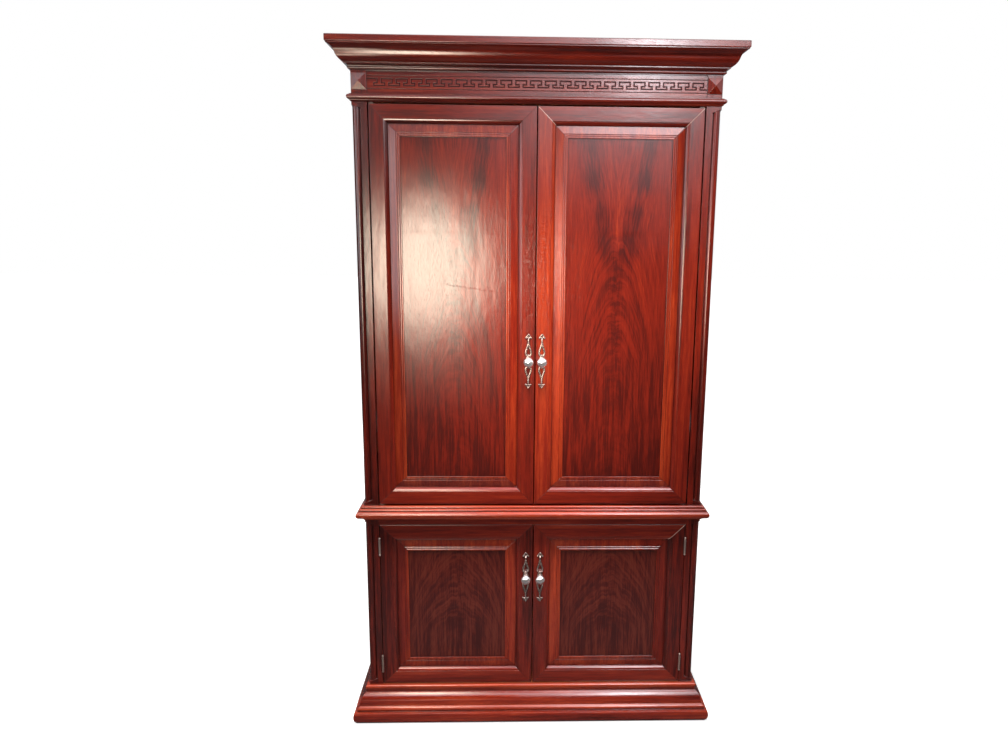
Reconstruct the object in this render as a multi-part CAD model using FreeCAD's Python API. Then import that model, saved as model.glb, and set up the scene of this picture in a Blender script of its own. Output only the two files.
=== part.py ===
import FreeCAD, Part
import math
import os

# Television armoire in two cases, millimetres.  X runs to the right, Y to the back, Z up.
# The origin is under the middle of the whole piece, on the floor.

# ---- Overall sizes of the cases ----
body_width = 1090.0             # across the corner posts
body_depth = 600.0              # from the post faces to the back
base_height = 121.0
base_overhang = 50.0
lower_opening_height = 566.0
face_rail_height = 18.0
waist_height = 47.5
waist_overhang = 24.5
upper_opening_height = 1239.5
neck_height = 22.5
neck_overhang = 12.5
frieze_height = 66.5
crown_height = 64.0
crown_overhang = 57.0
cap_thickness = 19.5
cap_overhang = 59.5
cap_edge_radius = 2.5

# ---- Boards and posts ----
post_width = 45.0
post_depth = 45.0
column_radius = 12.5
column_inset = 0.4              # from the post's faces to the column
quirk_width = 3.3
quirk_depth = 6.0
column_stop = 8.0
column_stop_slope = 0.5
side_thickness = 18.0
back_thickness = 8.0
bottom_thickness = 20.0
lower_top_thickness = 23.5
plinth_thickness = 20.0
face_rail_thickness = 24.0
frieze_thickness = 22.0
frieze_recess = 3.0
frieze_fillet = 2.0
shelf_thickness = 20.0
shelf_setback = 62.0
shelf_level = 290.0             # above the bottom board
shelf_side_play = 1.5
shelf_back_play = 12.0

# ---- Greek key and pyramid blocks ----
key_period = 43.5
key_run = 31.6
key_height = 18.5
key_step = 11.4
key_groove_width = 3.8
key_groove_depth = 2.4
key_end_margin = 4.0
key_border_offset = 18.3
key_border_width = 2.0
key_border_depth = 1.6
pyramid_margin = 1.0
pyramid_height = 46.0
pyramid_rise = 10.0
pyramid_edge = 1.4

# ---- Doors ----
door_thickness = 24.0
door_edge_round = 1.0
door_setback = 1.0
centre_gap = 3.0
upper_side_gap = 3.5
upper_end_gap = 4.5
lower_side_gap = 1.5
lower_end_gap = 2.0
frame_face = 42.0
frame_quirk = 1.2
bevel_width = 12.0
bevel_depth = 9.5
groove_depth = 11.0
band_width = 23.5
band_front_depth = 6.2
ridge_count = 2
ridge_width = 6.25
ridge_rise = 1.8
ridge_quirk = 0.3
field_depth = 8.0
panel_seat_depth = 14.0
panel_back_depth = 20.0
panel_tongue = 8.0

# ---- Handles ----
handle_length = 174.0
handle_width = 21.0
handle_thickness = 2.2
handle_pin_radius = 1.6
upper_handle_inset = 19.5       # from the door's free edge to the handle's middle
lower_handle_inset = 22.0
upper_handle_height = 472.5     # above the upper deck
lower_handle_height = 382.5     # above the bottom board
knob_radius = 15.0
knob_stem_radius = 5.0
knob_foot_radius = 9.0
knob_foot_thickness = 3.0
knob_reach = 32.0
knob_dome_rise = 8.5
knob_flare_height = 8.0
knob_flare_radius = 11.76       # where the flare's curve passes, from the axis
knob_flare_level = 2.24         # and above the stem's end
knob_waist_radius = 4.6

# ---- Pocket-door hardware ----
pivot_from_edge = 8.0
pivot_from_face = 6.0
pivot_pin_radius = 2.0
pivot_clearance = 0.05
bush_wall = 1.9
bush_length = 16.0
pivot_plate_thickness = 2.5
pivot_plate_gap = 1.0
pivot_arm_width = 14.0
pivot_nose = 4.5
strip_thickness = 13.0
strip_width = 50.0
strip_post_gap = 3.0
rail_depth = 12.0
rail_height = 40.0
rail_wall = 1.5
rail_lip = 7.0
slide_travel = 400.0
rail_end_play = 10.0
rail_inset = 90.0               # from deck and ceiling to the nearer rail's middle
runner_clearance = 0.3
runner_length = 110.0
runner_neck = 16.0
strip_rail_gap = 1.0

# ---- Lower door hinges, catches, screws and cut-outs ----
hinge_barrel_radius = 3.2
hinge_pin_radius = 1.5
hinge_pin_clearance = 0.05
hinge_leaf_length = 46.0
hinge_leaf_thickness = 1.5
hinge_leaf_depth = 20.0
hinge_face_gap = 0.2
hinge_knuckle_gap = 0.3
hinge_knuckles = 5
finial_radius = 3.4
finial_length = 9.0             # both finials' share of the pin's length
finial_collar_radius = 2.56
finial_collar_length = 3.0
finial_centre = 4.95            # from the collar's start to the ball's middle
hinge_from_end = 75.0
catch_width = 42.0
catch_depth = 14.0
catch_height = 36.0
catch_from_centre = 60.0
magnet_width = 30.0
magnet_height = 6.0
magnet_reach = 1.0
magnet_gap = 0.3
strike_width = 34.0
strike_height = 12.0
strike_thickness = 1.0
pin_radius = 2.5
pin_reach = 9.0
pin_socket = 9.0
pin_from_shelf_edge = 60.0
screw_radius = 3.0
screw_head_radius = 6.0
screw_head_height = 3.5
screw_from_side = 140.0
screw_from_front = 120.0
cutout_width = 160.0
cutout_height = 80.0
cutout_from_centre = 300.0
cutout_above_floor = 90.0
lower_cutout_width = 110.0
lower_cutout_height = 70.0

# ---- Levels and planes that follow ----
half_width = body_width / 2
overall_depth = body_depth + cap_overhang
back = overall_depth / 2
front = back - body_depth
door_face = front + door_setback
door_back = door_face + door_thickness
lower_floor = base_height
lower_ceiling = lower_floor + lower_opening_height
waist_bottom = lower_ceiling + face_rail_height
lower_top_level = waist_bottom + lower_top_thickness
upper_floor = waist_bottom + waist_height
upper_ceiling = upper_floor + upper_opening_height
neck_top = upper_ceiling + neck_height
crown_bottom = neck_top + frieze_height
cap_bottom = crown_bottom + crown_height
cap_top = cap_bottom + cap_thickness
opening_half = half_width - post_width
inner_half = half_width - side_thickness
inner_back = back - back_thickness
post_back = front + post_depth
frame_width = frame_face + bevel_width
bead_width = ridge_count * ridge_width
moulding_inner = frame_width + band_width + bead_width
rail_length = runner_length + slide_travel + rail_end_play

# Pivot of the left upper door, seen from above
pivot_x = -(opening_half - upper_side_gap) + pivot_from_edge
pivot_y = door_face + pivot_from_face

# Axis of the left lower door's hinges
hinge_x = -opening_half + lower_side_gap / 2
hinge_y = front - hinge_barrel_radius - hinge_face_gap

# Moulding outlines: (overhang, height) as shares of the moulding's own overhang and height,
# from the bottom up.  A pair of points is an arc: a point on it, then its end.
base_outline = [
    (0.0, 0.0), (0.77, 0.0), ((1.0, 0.2), (0.95, 0.33)), (0.74, 0.34), (0.74, 0.36),
    ((0.72, 0.43), (0.63, 0.465)), (0.6, 0.475), ((0.49, 0.68), (0.25, 0.8)), (0.2, 0.81),
    (0.2, 0.905), ((0.25, 0.955), (0.16, 1.0)), (0.0, 1.0)]
waist_outline = [
    (0.0, 0.0), (0.14, 0.0), (0.14, 0.05), ((0.3, 0.09), (0.6, 0.16)), (0.7, 0.18),
    ((1.0, 0.42), (0.72, 0.66)), (0.6, 0.68), ((0.66, 0.76), (0.5, 0.83)), (0.34, 0.85),
    ((0.4, 0.93), (0.24, 1.0)), (0.0, 1.0)]
neck_outline = [
    (0.0, 0.0), (0.08, 0.04), ((0.3, 0.12), (0.46, 0.27)), (0.6, 0.3), ((1.0, 0.6), (0.55, 0.9)),
    (0.42, 0.91), (0.42, 1.0), (0.0, 1.0)]
crown_outline = [
    (0.0, 0.0), (0.07, 0.02), ((0.14, 0.07), (0.11, 0.12)), (0.1, 0.13), ((0.15, 0.2), (0.27, 0.235)),
    (0.29, 0.235), (0.29, 0.285), (0.32, 0.29), ((0.53, 0.43), (0.65, 0.64)), ((0.79, 0.85), (1.0, 0.96)),
    (1.0, 1.0), (0.0, 1.0)]

# The curve of a door frame's bevel passes here, as shares of the bevel's width and depth; then the
# round flank of a ridge beside the panel and where it ends, as shares of the ridge's width and rise.
bevel_curve = (0.62, 0.3)
ridge_flank = ((0.22, 0.7), (0.7, 1.0))

# A quarter of the pierced handle plate, from its seat to its tip, as shares of half its width
# and half its length; then the loop cut out of each half, and the level of its pin hole.
plate_quarter = [
    (0.62, 0.13), (0.66, 0.18), ((1.02, 0.33), (0.42, 0.53)), ((0.24, 0.58), (0.2, 0.64)),
    (0.2, 0.79), (0.45, 0.8), (1.0, 0.815), ((0.72, 0.87), (0.5, 0.91)), (0.0, 1.0)]
plate_loop = [
    (0.0, 0.52), ((0.34, 0.42), (0.56, 0.33)), ((0.0, 0.225), (-0.56, 0.33)),
    ((-0.34, 0.42), (0.0, 0.52))]
plate_pin_level = 0.86


def point(x, y, z):
    return FreeCAD.Vector(x, y, z)


def block(x0, x1, y0, y1, z0, z1):
    return Part.makeBox(x1 - x0, y1 - y0, z1 - z0, point(x0, y0, z0))


def mirrored(shapes):
    return [shape.mirror(point(0, 0, 0), point(1, 0, 0)) for shape in shapes]


def both_sides(shapes):
    return shapes + mirrored(shapes)


def rod(radius, start, length, axis):
    return Part.makeCylinder(radius, length, start, axis)


def flat_face(outline, place):
    """A face inside a closed outline; place turns its pairs into points in space."""
    edges = []
    first = start = place(*outline[0])
    for step in outline[1:]:
        if isinstance(step[0], tuple):
            end = place(*step[1])
            edges.append(Part.Arc(start, place(*step[0]), end).toShape())
        else:
            end = place(*step)
            edges.append(Part.LineSegment(start, end).toShape())
        start = end
    if start != first:
        edges.append(Part.LineSegment(start, first).toShape())
    return Part.Face(Part.Wire(edges))


def prism(outline, place, sweep):
    return flat_face(outline, place).extrude(sweep)


def plan_prism(outline, z0, z1):
    return prism(outline, lambda x, y: point(x, y, z0), point(0, 0, z1 - z0))


# ---- Mouldings that run round the front and sides ----
def case_moulding(outline, overhang, height, bottom):
    outer = half_width + overhang
    outer_front = front - overhang
    front_run = prism(outline, lambda d, z: point(-outer, front - d * overhang, bottom + z * height),
                      point(2 * outer, 0, 0))
    front_plan = [(-outer, outer_front), (outer, outer_front), (half_width, front), (-half_width, front)]
    side_run = prism(outline,
                     lambda d, z: point(-half_width - d * overhang, outer_front, bottom + z * height),
                     point(0, back - outer_front, 0))
    side_plan = [(-outer, outer_front), (-half_width, front), (-half_width, back), (-outer, back)]
    top = bottom + height
    left = side_run.common(plan_prism(side_plan, bottom, top))
    return [front_run.common(plan_prism(front_plan, bottom, top))] + both_sides([left])


# ---- Corner posts with a column worked on the outer corner ----
def corner_post(bottom, top):
    """The left post; the waste round its column stops short of both ends on a slope."""
    side = -half_width
    centre = column_radius + column_inset
    reach = centre + math.sqrt(column_radius ** 2 - (centre - quirk_depth) ** 2)
    wall = reach + quirk_width
    crown = centre - column_radius * math.sqrt(0.5)
    waste = [(0, 0), (wall, 0), (wall, quirk_depth), (reach, quirk_depth),
             ((crown, crown), (quirk_depth, reach)), (quirk_depth, wall), (0, wall)]
    cutter = prism(waste, lambda a, b: point(side + a, front + b, bottom), point(0, 0, top - bottom))
    diagonal = wall * math.sqrt(2)
    run_out = column_stop + column_stop_slope * diagonal
    stops = [(0, bottom + column_stop), (diagonal, bottom + run_out), (diagonal, top - run_out),
             (0, top - column_stop)]

    def on_diagonal(t, z):
        along = t / math.sqrt(2)
        return point(side + along - wall, front + along + wall, z)

    hipped = prism(stops, on_diagonal, point(2 * wall, -2 * wall, 0))
    post = block(side, side + post_width, front, post_back, bottom, top)
    return post.cut(cutter.common(hipped))


# ---- Lower case ----
def plinth_frame():
    top = base_height - bottom_thickness
    inner_x = half_width - plinth_thickness
    rail_front = block(-half_width, half_width, front, front + plinth_thickness, 0, top)
    rail_back = block(-half_width, half_width, back - plinth_thickness, back, 0, top)
    left = block(-half_width, -inner_x, front + plinth_thickness, back - plinth_thickness, 0, top)
    return [rail_front, rail_back] + both_sides([left])


def lower_bottom():
    return [block(-half_width, half_width, front, back, base_height - bottom_thickness, base_height)]


def side_board(bottom, top):
    return block(-half_width, -inner_half, post_back, back, bottom, top)


def lower_sides():
    board = side_board(lower_floor, waist_bottom)
    return both_sides([board.cut(Part.makeCompound(shelf_pin_shapes()))])


def lower_back():
    board = block(-inner_half, inner_half, inner_back, back, lower_floor, waist_bottom)
    low = lower_floor + cutout_above_floor
    hole = block(-lower_cutout_width / 2, lower_cutout_width / 2, inner_back, back,
                 low, low + lower_cutout_height)
    return [board.cut(hole)]


def lower_posts():
    post = corner_post(lower_floor, waist_bottom)
    leaves = Part.makeCompound([hinge_leaf_plate(-1, level) for level in hinge_levels()])
    return both_sides([post.cut(leaves)])


def lower_face_rail():
    return [block(-opening_half, opening_half, front, front + face_rail_thickness,
                  lower_ceiling, waist_bottom)]


def lower_top():
    board = block(-half_width, half_width, front, back, waist_bottom, lower_top_level)
    return [board.cut(Part.makeCompound(case_screws()))]


def shelf_bottom():
    return lower_floor + shelf_level


def shelf():
    width = inner_half - shelf_side_play
    return [block(-width, width, front + shelf_setback, inner_back - shelf_back_play,
                  shelf_bottom(), shelf_bottom() + shelf_thickness)]


def shelf_pin_shapes():
    """The left side's two pins."""
    centre_z = shelf_bottom() - pin_radius
    rows = [front + shelf_setback + pin_from_shelf_edge, inner_back - shelf_back_play - pin_from_shelf_edge]
    start = -inner_half - pin_socket
    return [rod(pin_radius, point(start, y, centre_z), pin_socket + pin_reach, point(1, 0, 0)) for y in rows]


def shelf_pins():
    return both_sides(shelf_pin_shapes())


def magnet_catches():
    middle = -catch_from_centre
    rear = door_back + magnet_gap + magnet_reach
    low = waist_bottom - catch_height
    left = middle - catch_width / 2
    right = middle + catch_width / 2
    case = block(left, right, rear, rear + catch_depth, low, waist_bottom)
    lug = block(left, right, front + face_rail_thickness, rear, lower_ceiling, waist_bottom)
    magnet_low = low + magnet_height / 2
    magnet = block(middle - magnet_width / 2, middle + magnet_width / 2, rear - magnet_reach, rear,
                   magnet_low, magnet_low + magnet_height)
    return both_sides([case.fuse(lug).removeSplitter(), magnet])


# ---- Lower door hinges ----
def hinge_levels():
    return [lower_floor + hinge_from_end, lower_ceiling - hinge_from_end]


def hinge_leaf_plate(side, level):
    """The flat of one leaf, let into the post (side -1) or the door's edge (side +1)."""
    inner = hinge_x + side * lower_side_gap / 2
    outer = inner + side * hinge_leaf_thickness
    start = hinge_y + hinge_barrel_radius + hinge_face_gap
    return block(min(inner, outer), max(inner, outer), start, front + hinge_leaf_depth,
                 level - hinge_leaf_length / 2, level + hinge_leaf_length / 2)


def hinge_half(side, level):
    """One leaf of a hinge with its knuckles round the pin."""
    bore = hinge_pin_radius + hinge_pin_clearance
    pitch = hinge_leaf_length / hinge_knuckles
    first = 0 if side < 0 else 1
    shape = hinge_leaf_plate(side, level)
    inner = hinge_x + side * lower_side_gap / 2
    outer = inner + side * hinge_leaf_thickness
    web_front = hinge_y + bore
    for number in range(first, hinge_knuckles, 2):
        low = level - hinge_leaf_length / 2 + number * pitch + hinge_knuckle_gap / 2
        high = low + pitch - hinge_knuckle_gap
        ring = rod(hinge_barrel_radius, point(hinge_x, hinge_y, low), high - low, point(0, 0, 1))
        web = block(min(inner, outer), max(inner, outer), web_front, front + hinge_face_gap, low, high)
        shape = shape.fuse(ring).fuse(web)
    core_start = point(hinge_x, hinge_y, level - hinge_leaf_length)
    core = rod(bore, core_start, 2 * hinge_leaf_length, point(0, 0, 1))
    return shape.cut(core).removeSplitter()


def hinge_pin(level):
    """Pin with a small ball finial beyond each end of the barrel."""
    half = hinge_leaf_length / 2
    pin = rod(hinge_pin_radius, point(hinge_x, hinge_y, level - half - finial_length / 2),
              2 * half + finial_length, point(0, 0, 1))
    for side in (-1, 1):
        start = level + side * (half + hinge_knuckle_gap)
        collar = rod(finial_collar_radius, point(hinge_x, hinge_y, start), finial_collar_length,
                     point(0, 0, side))
        ball = Part.makeSphere(finial_radius, point(hinge_x, hinge_y, start + side * finial_centre))
        pin = pin.fuse(collar).fuse(ball)
    return pin.removeSplitter()


def lower_hinge_post_leaves():
    pieces = []
    for level in hinge_levels():
        pieces.append(hinge_half(-1, level))
        pieces.append(hinge_pin(level))
    return both_sides(pieces)


# ---- Screws between the cases ----
def case_screws():
    pieces = []
    for y in (front + screw_from_front, inner_back - screw_from_front):
        start = point(-half_width + screw_from_side, y, waist_bottom - screw_head_height)
        shank = rod(screw_radius, start, upper_floor - waist_bottom + screw_head_height / 2, point(0, 0, 1))
        head = rod(screw_head_radius, start, screw_head_height, point(0, 0, 1))
        pieces.append(shank.fuse(head).removeSplitter())
    return both_sides(pieces)


# ---- Upper case ----
def upper_deck():
    board = block(-half_width, half_width, front, back, lower_top_level, upper_floor)
    return [board.cut(Part.makeCompound(case_screws()))]


def upper_posts():
    return both_sides([corner_post(upper_floor, upper_ceiling)])


def upper_sides():
    return both_sides([side_board(upper_floor, upper_ceiling)])


def upper_back():
    board = block(-inner_half, inner_half, inner_back, back, upper_floor, upper_ceiling)
    low = upper_floor + cutout_above_floor
    hole = block(-cutout_from_centre - cutout_width / 2, -cutout_from_centre + cutout_width / 2,
                 inner_back, back, low, low + cutout_height)
    cornice_back = block(-inner_half, inner_half, inner_back, back, neck_top, cap_bottom)
    return [board.cut(Part.makeCompound(both_sides([hole]))), cornice_back]


def upper_top():
    return [block(-half_width, half_width, front, back, upper_ceiling, neck_top)]


def key_path(count):
    """Centre line of the interlocking Greek key, from the left end of its first run."""
    shift = key_run - key_period / 2
    low_step = key_height - key_step
    x = 0.0
    path = [(x, key_height)]
    for _ in range(count):
        path += [(x + key_run, key_height), (x + key_run, low_step), (x + key_run - shift, low_step),
                 (x + key_run - shift, 0)]
        x += key_period / 2
        path += [(x + key_run, 0), (x + key_run, low_step), (x + key_run - shift, low_step),
                 (x + key_run - shift, key_height)]
        x += key_period / 2
    return path[:-1]


def offset_path(path, distance):
    """The path moved sideways, with square corners."""
    moved = []
    for index, (x, z) in enumerate(path):
        before = path[max(index - 1, 0)]
        after = path[min(index + 1, len(path) - 1)]
        dx = 0.0
        dz = 0.0
        for (ax, az), (bx, bz) in ((before, (x, z)), ((x, z), after)):
            if abs(bx - ax) > abs(bz - az):
                dz = distance * math.copysign(1, bx - ax)
            elif abs(bz - az) > 0:
                dx = -distance * math.copysign(1, bz - az)
        moved.append((x + dx, z + dz))
    return moved


def frieze_board():
    face = front + frieze_recess
    board = block(-opening_half, opening_half, front, front + frieze_thickness, neck_top, cap_bottom)
    recess = block(-opening_half, opening_half, front, face, neck_top, crown_bottom - frieze_fillet)
    room = 2 * (opening_half - key_end_margin)
    count = int((room - key_run) // key_period) + 1
    path = key_path(count)
    left = -(path[-1][0]) / 2
    low = neck_top + frieze_height / 2 - key_height / 2
    line = offset_path(path, key_groove_width / 2) + offset_path(path, -key_groove_width / 2)[::-1]
    groove = prism(line, lambda x, z: point(left + x, face, low + z), point(0, key_groove_depth, 0))
    cuts = [recess, groove]
    for side in (-1, 1):
        middle = neck_top + frieze_height / 2 + side * key_border_offset
        cuts.append(block(-opening_half, opening_half, face, face + key_border_depth,
                          middle - key_border_width / 2, middle + key_border_width / 2))
    return [board.cut(Part.makeCompound(cuts[:1])).cut(Part.makeCompound(cuts[1:]))]


def frieze_sides():
    return both_sides([side_board(neck_top, cap_bottom)])


def rosette_blocks():
    post = block(-half_width, -opening_half, front, post_back, neck_top, cap_bottom)
    low = neck_top + (frieze_height - pyramid_height) / 2 + frieze_fillet
    x0 = -half_width + pyramid_margin
    x1 = -opening_half - pyramid_margin
    plate = block(x0, x1, front - pyramid_edge, front, low, low + pyramid_height)
    tip = point((x0 + x1) / 2, front - pyramid_rise, low + pyramid_height / 2)
    corners = [point(x0, front - pyramid_edge, low), point(x1, front - pyramid_edge, low),
               point(x1, front - pyramid_edge, low + pyramid_height),
               point(x0, front - pyramid_edge, low + pyramid_height)]
    faces = [Part.Face(Part.makePolygon(corners + corners[:1]))]
    for index in range(4):
        a, b = corners[index], corners[(index + 1) % 4]
        faces.append(Part.Face(Part.makePolygon([a, b, tip, a])))
    pyramid = Part.Solid(Part.Shell(faces))
    return both_sides([post.fuse(plate).fuse(pyramid).removeSplitter()])


def cornice_cap():
    outer = half_width + cap_overhang
    cap = block(-outer, outer, front - cap_overhang, back, cap_bottom, cap_top)
    rear_rule = back - cap_edge_radius
    edges = [edge for edge in cap.Edges
             if edge.BoundBox.ZLength < cap_edge_radius and edge.CenterOfMass.y < rear_rule]
    return [cap.makeFillet(cap_edge_radius, edges)]


# ---- Pocket-door slides and carriers ----
def rail_levels():
    return [upper_floor + rail_inset, upper_ceiling - rail_inset]


def slide_front():
    return post_back + strip_post_gap


def slide_rail(level):
    wall_x = -inner_half
    mouth_x = wall_x + rail_depth
    half = rail_height / 2
    start = slide_front()
    shell = block(wall_x, mouth_x, start, start + rail_length, level - half, level + half)
    hollow = block(wall_x + rail_wall, mouth_x - rail_wall, start, start + rail_length,
                   level - half + rail_wall, level + half - rail_wall)
    mouth_half = half - rail_wall - rail_lip
    mouth = block(mouth_x - rail_wall, mouth_x, start, start + rail_length,
                  level - mouth_half, level + mouth_half)
    return shell.cut(hollow).cut(mouth)


def door_slide_rails():
    return both_sides([slide_rail(level) for level in rail_levels()])


def strip_outer_x():
    return -inner_half + rail_depth + strip_rail_gap


def carrier_strip():
    x0 = strip_outer_x()
    y0 = slide_front()
    low = upper_floor + pivot_plate_gap + pivot_plate_thickness
    high = upper_ceiling - pivot_plate_gap - pivot_plate_thickness
    return [block(x0, x0 + strip_thickness, y0, y0 + strip_width, low, high)]


def carrier_runners():
    pieces = []
    back_x = -inner_half + rail_wall + runner_clearance
    front_x = -inner_half + rail_depth - rail_wall - runner_clearance
    half = rail_height / 2 - rail_wall - runner_clearance
    start = slide_front()
    for level in rail_levels():
        slider = block(back_x, front_x, start, start + runner_length, level - half, level + half)
        neck = block(front_x, strip_outer_x(), start, start + strip_width,
                     level - runner_neck / 2, level + runner_neck / 2)
        pieces.append(slider.fuse(neck).removeSplitter())
    return pieces


def pivot_plate(plate_low, pin_direction, pin_start):
    arm_half = pivot_arm_width / 2
    y0 = slide_front()
    x0 = strip_outer_x()
    plan = [(pivot_x - arm_half, pivot_y - pivot_nose), (pivot_x + arm_half, pivot_y - pivot_nose),
            (pivot_x + arm_half, y0 + strip_width), (x0, y0 + strip_width), (x0, y0),
            (pivot_x - arm_half, y0)]
    plate = plan_prism(plan, plate_low, plate_low + pivot_plate_thickness)
    pin_length = upper_end_gap - pivot_plate_gap + bush_length
    pin = rod(pivot_pin_radius, point(pivot_x, pivot_y, pin_start), pin_length, point(0, 0, pin_direction))
    return plate.fuse(pin).removeSplitter()


def pivot_plates():
    low = upper_floor + pivot_plate_gap
    high = upper_ceiling - pivot_plate_gap
    return [pivot_plate(low, 1, low), pivot_plate(high - pivot_plate_thickness, -1, high)]


def pivot_bushes():
    outer = pivot_pin_radius + pivot_clearance + bush_wall
    inner = pivot_pin_radius + pivot_clearance
    low = upper_floor + upper_end_gap
    high = upper_ceiling - upper_end_gap
    pieces = []
    for start, direction in ((low, 1), (high, -1)):
        centre = point(pivot_x, pivot_y, start)
        axis = point(0, 0, direction)
        tube = rod(outer, centre, bush_length + bush_wall, axis).cut(rod(inner, centre, bush_length, axis))
        pieces.append(tube)
    return pieces


# ---- Doors ----
def ring_member(outline, depth_place, width, height, x0, z0, ring_width, side):
    """One of the four mitred members of a rectangular ring seen from the front."""
    x1, z1 = x0 + width, z0 + height
    inner_x0, inner_x1 = x0 + ring_width, x1 - ring_width
    inner_z0, inner_z1 = z0 + ring_width, z1 - ring_width
    if side == "left":
        run = prism(outline, lambda u, h: point(x0 + u, depth_place(h), z0), point(0, 0, height))
        corners = [(x0, z0), (inner_x0, inner_z0), (inner_x0, inner_z1), (x0, z1)]
    elif side == "right":
        run = prism(outline, lambda u, h: point(x1 - u, depth_place(h), z0), point(0, 0, height))
        corners = [(x1, z0), (inner_x1, inner_z0), (inner_x1, inner_z1), (x1, z1)]
    elif side == "bottom":
        run = prism(outline, lambda u, h: point(x0, depth_place(h), z0 + u), point(width, 0, 0))
        corners = [(x0, z0), (inner_x0, inner_z0), (inner_x1, inner_z0), (x1, z0)]
    else:
        run = prism(outline, lambda u, h: point(x0, depth_place(h), z1 - u), point(width, 0, 0))
        corners = [(x0, z1), (inner_x0, inner_z1), (inner_x1, inner_z1), (x1, z1)]
    mitre = prism(corners, lambda x, z: point(x, door_face, z), point(0, door_thickness, 0))
    return run.common(mitre)


def at_depth(h):
    return door_face + h


def frame_outline():
    """Section of a stile or rail, from its rounded outer edge in to the bevel."""
    on_round = door_edge_round * (1 - math.sqrt(0.5))
    bevel_end = (frame_width, frame_quirk + bevel_depth)
    on_bevel = (frame_face + bevel_width * bevel_curve[0], frame_quirk + bevel_depth * bevel_curve[1])
    return [(0, door_edge_round), ((on_round, on_round), (door_edge_round, 0)), (frame_face, 0),
            (frame_face, frame_quirk), (on_bevel, bevel_end), (frame_width, door_thickness),
            (0, door_thickness)]


def moulding_outline():
    """Sloping band, then ridges that step up towards the panel; u is measured from the band's outer edge."""
    outline = [(0, panel_seat_depth), (0, groove_depth), (band_width - frame_quirk, band_front_depth),
               (band_width, band_front_depth)]
    for index in range(ridge_count):
        start = band_width + index * ridge_width
        foot = band_front_depth + frame_quirk - index * (ridge_rise - ridge_quirk)
        flank = [(start + u * ridge_width, foot - h * ridge_rise) for u, h in ridge_flank]
        outline += [(start, foot), tuple(flank), (start + ridge_width, foot - ridge_rise)]
    return outline + [(band_width + bead_width, panel_seat_depth)]


def door_panel(x0, z0, width, height):
    tongue = frame_width - panel_tongue
    board = block(x0 + tongue, x0 + width - tongue, at_depth(panel_seat_depth), at_depth(panel_back_depth),
                  z0 + tongue, z0 + height - tongue)
    field = block(x0 + moulding_inner, x0 + width - moulding_inner, at_depth(field_depth),
                  at_depth(panel_seat_depth), z0 + moulding_inner, z0 + height - moulding_inner)
    return board, field


def door_woodwork(x0, z0, width, height):
    """Stiles, rails, panel moulding and panel of one door."""
    board, field = door_panel(x0, z0, width, height)
    members = {}
    ring = []
    for side in ("left", "right", "bottom", "top"):
        member = ring_member(frame_outline(), at_depth, width, height, x0, z0, frame_width, side)
        members[side] = member.cut(board)
        ring.append(ring_member(moulding_outline(), at_depth, width - 2 * frame_width,
                                height - 2 * frame_width, x0 + frame_width, z0 + frame_width,
                                band_width + bead_width, side))
    return {"stiles": [members["left"], members["right"]], "rails": [members["bottom"], members["top"]],
            "moulding": ring, "panel": [board.fuse(field).removeSplitter()]}


# ---- Handles ----
def scaled(outline, sx, sz):
    """An outline's points multiplied in each direction, keeping its arcs."""
    turned = []
    for step in outline:
        if isinstance(step[0], tuple):
            turned.append(tuple((x * sx, z * sz) for x, z in step))
        else:
            turned.append((step[0] * sx, step[1] * sz))
    return turned


def reversed_outline(outline):
    """The same line walked the other way: an arc's end becomes the next arc's start."""
    ends = [step[1] if isinstance(step[0], tuple) else step for step in outline]
    walked = [ends[-1]]
    for index in range(len(outline) - 1, 0, -1):
        step = outline[index]
        if isinstance(step[0], tuple):
            walked.append((step[0], ends[index - 1]))
        else:
            walked.append(ends[index - 1])
    return walked


def handle_plate(middle_x, middle_z):
    """Pierced plate round a knob, the same four ways about its middle."""
    wide = handle_width / 2
    tip = handle_length / 2
    quarter = scaled(plate_quarter, wide, tip)
    right = reversed_outline(scaled(quarter, 1, -1)) + quarter
    left = reversed_outline(scaled(quarter, -1, 1))[1:] + scaled(quarter, -1, -1)[:-1]
    face = door_face - handle_thickness

    def place(x, z):
        return point(middle_x + x, face, middle_z + z)

    through = point(0, handle_thickness, 0)
    plate = prism(right + left, place, through)
    for side in (-1, 1):
        loop = prism(scaled(plate_loop, wide, tip * side), place, through)
        pin_hole = rod(handle_pin_radius, place(0, tip * plate_pin_level * side), handle_thickness,
                       point(0, 1, 0))
        plate = plate.cut(loop).cut(pin_hole)
    return plate


def knob(middle_x, middle_z):
    """Turned knob: foot, waisted stem and a domed head."""
    rim = knob_reach - knob_dome_rise
    neck = rim - knob_flare_height
    dome_radius = (knob_radius ** 2 + knob_dome_rise ** 2) / (2 * knob_dome_rise)
    dome_centre = knob_reach - dome_radius
    half_angle = math.asin(knob_radius / dome_radius) / 2
    on_dome = (dome_radius * math.sin(half_angle), dome_centre + dome_radius * math.cos(half_angle))
    flare_via = (knob_flare_radius, neck + knob_flare_level)
    stem_via = (knob_waist_radius, (knob_foot_thickness + neck) / 2)
    outline = [(0, 0), (knob_foot_radius, 0), (knob_foot_radius, knob_foot_thickness),
               (knob_stem_radius, knob_foot_thickness), (stem_via, (knob_stem_radius, neck)),
               (flare_via, (knob_radius, rim)), (on_dome, (0, knob_reach))]
    face = door_face - handle_thickness
    half_section = flat_face(outline, lambda r, y: point(middle_x + r, face - y, middle_z))
    return half_section.revolve(point(middle_x, face, middle_z), point(0, 1, 0), 360)


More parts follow.
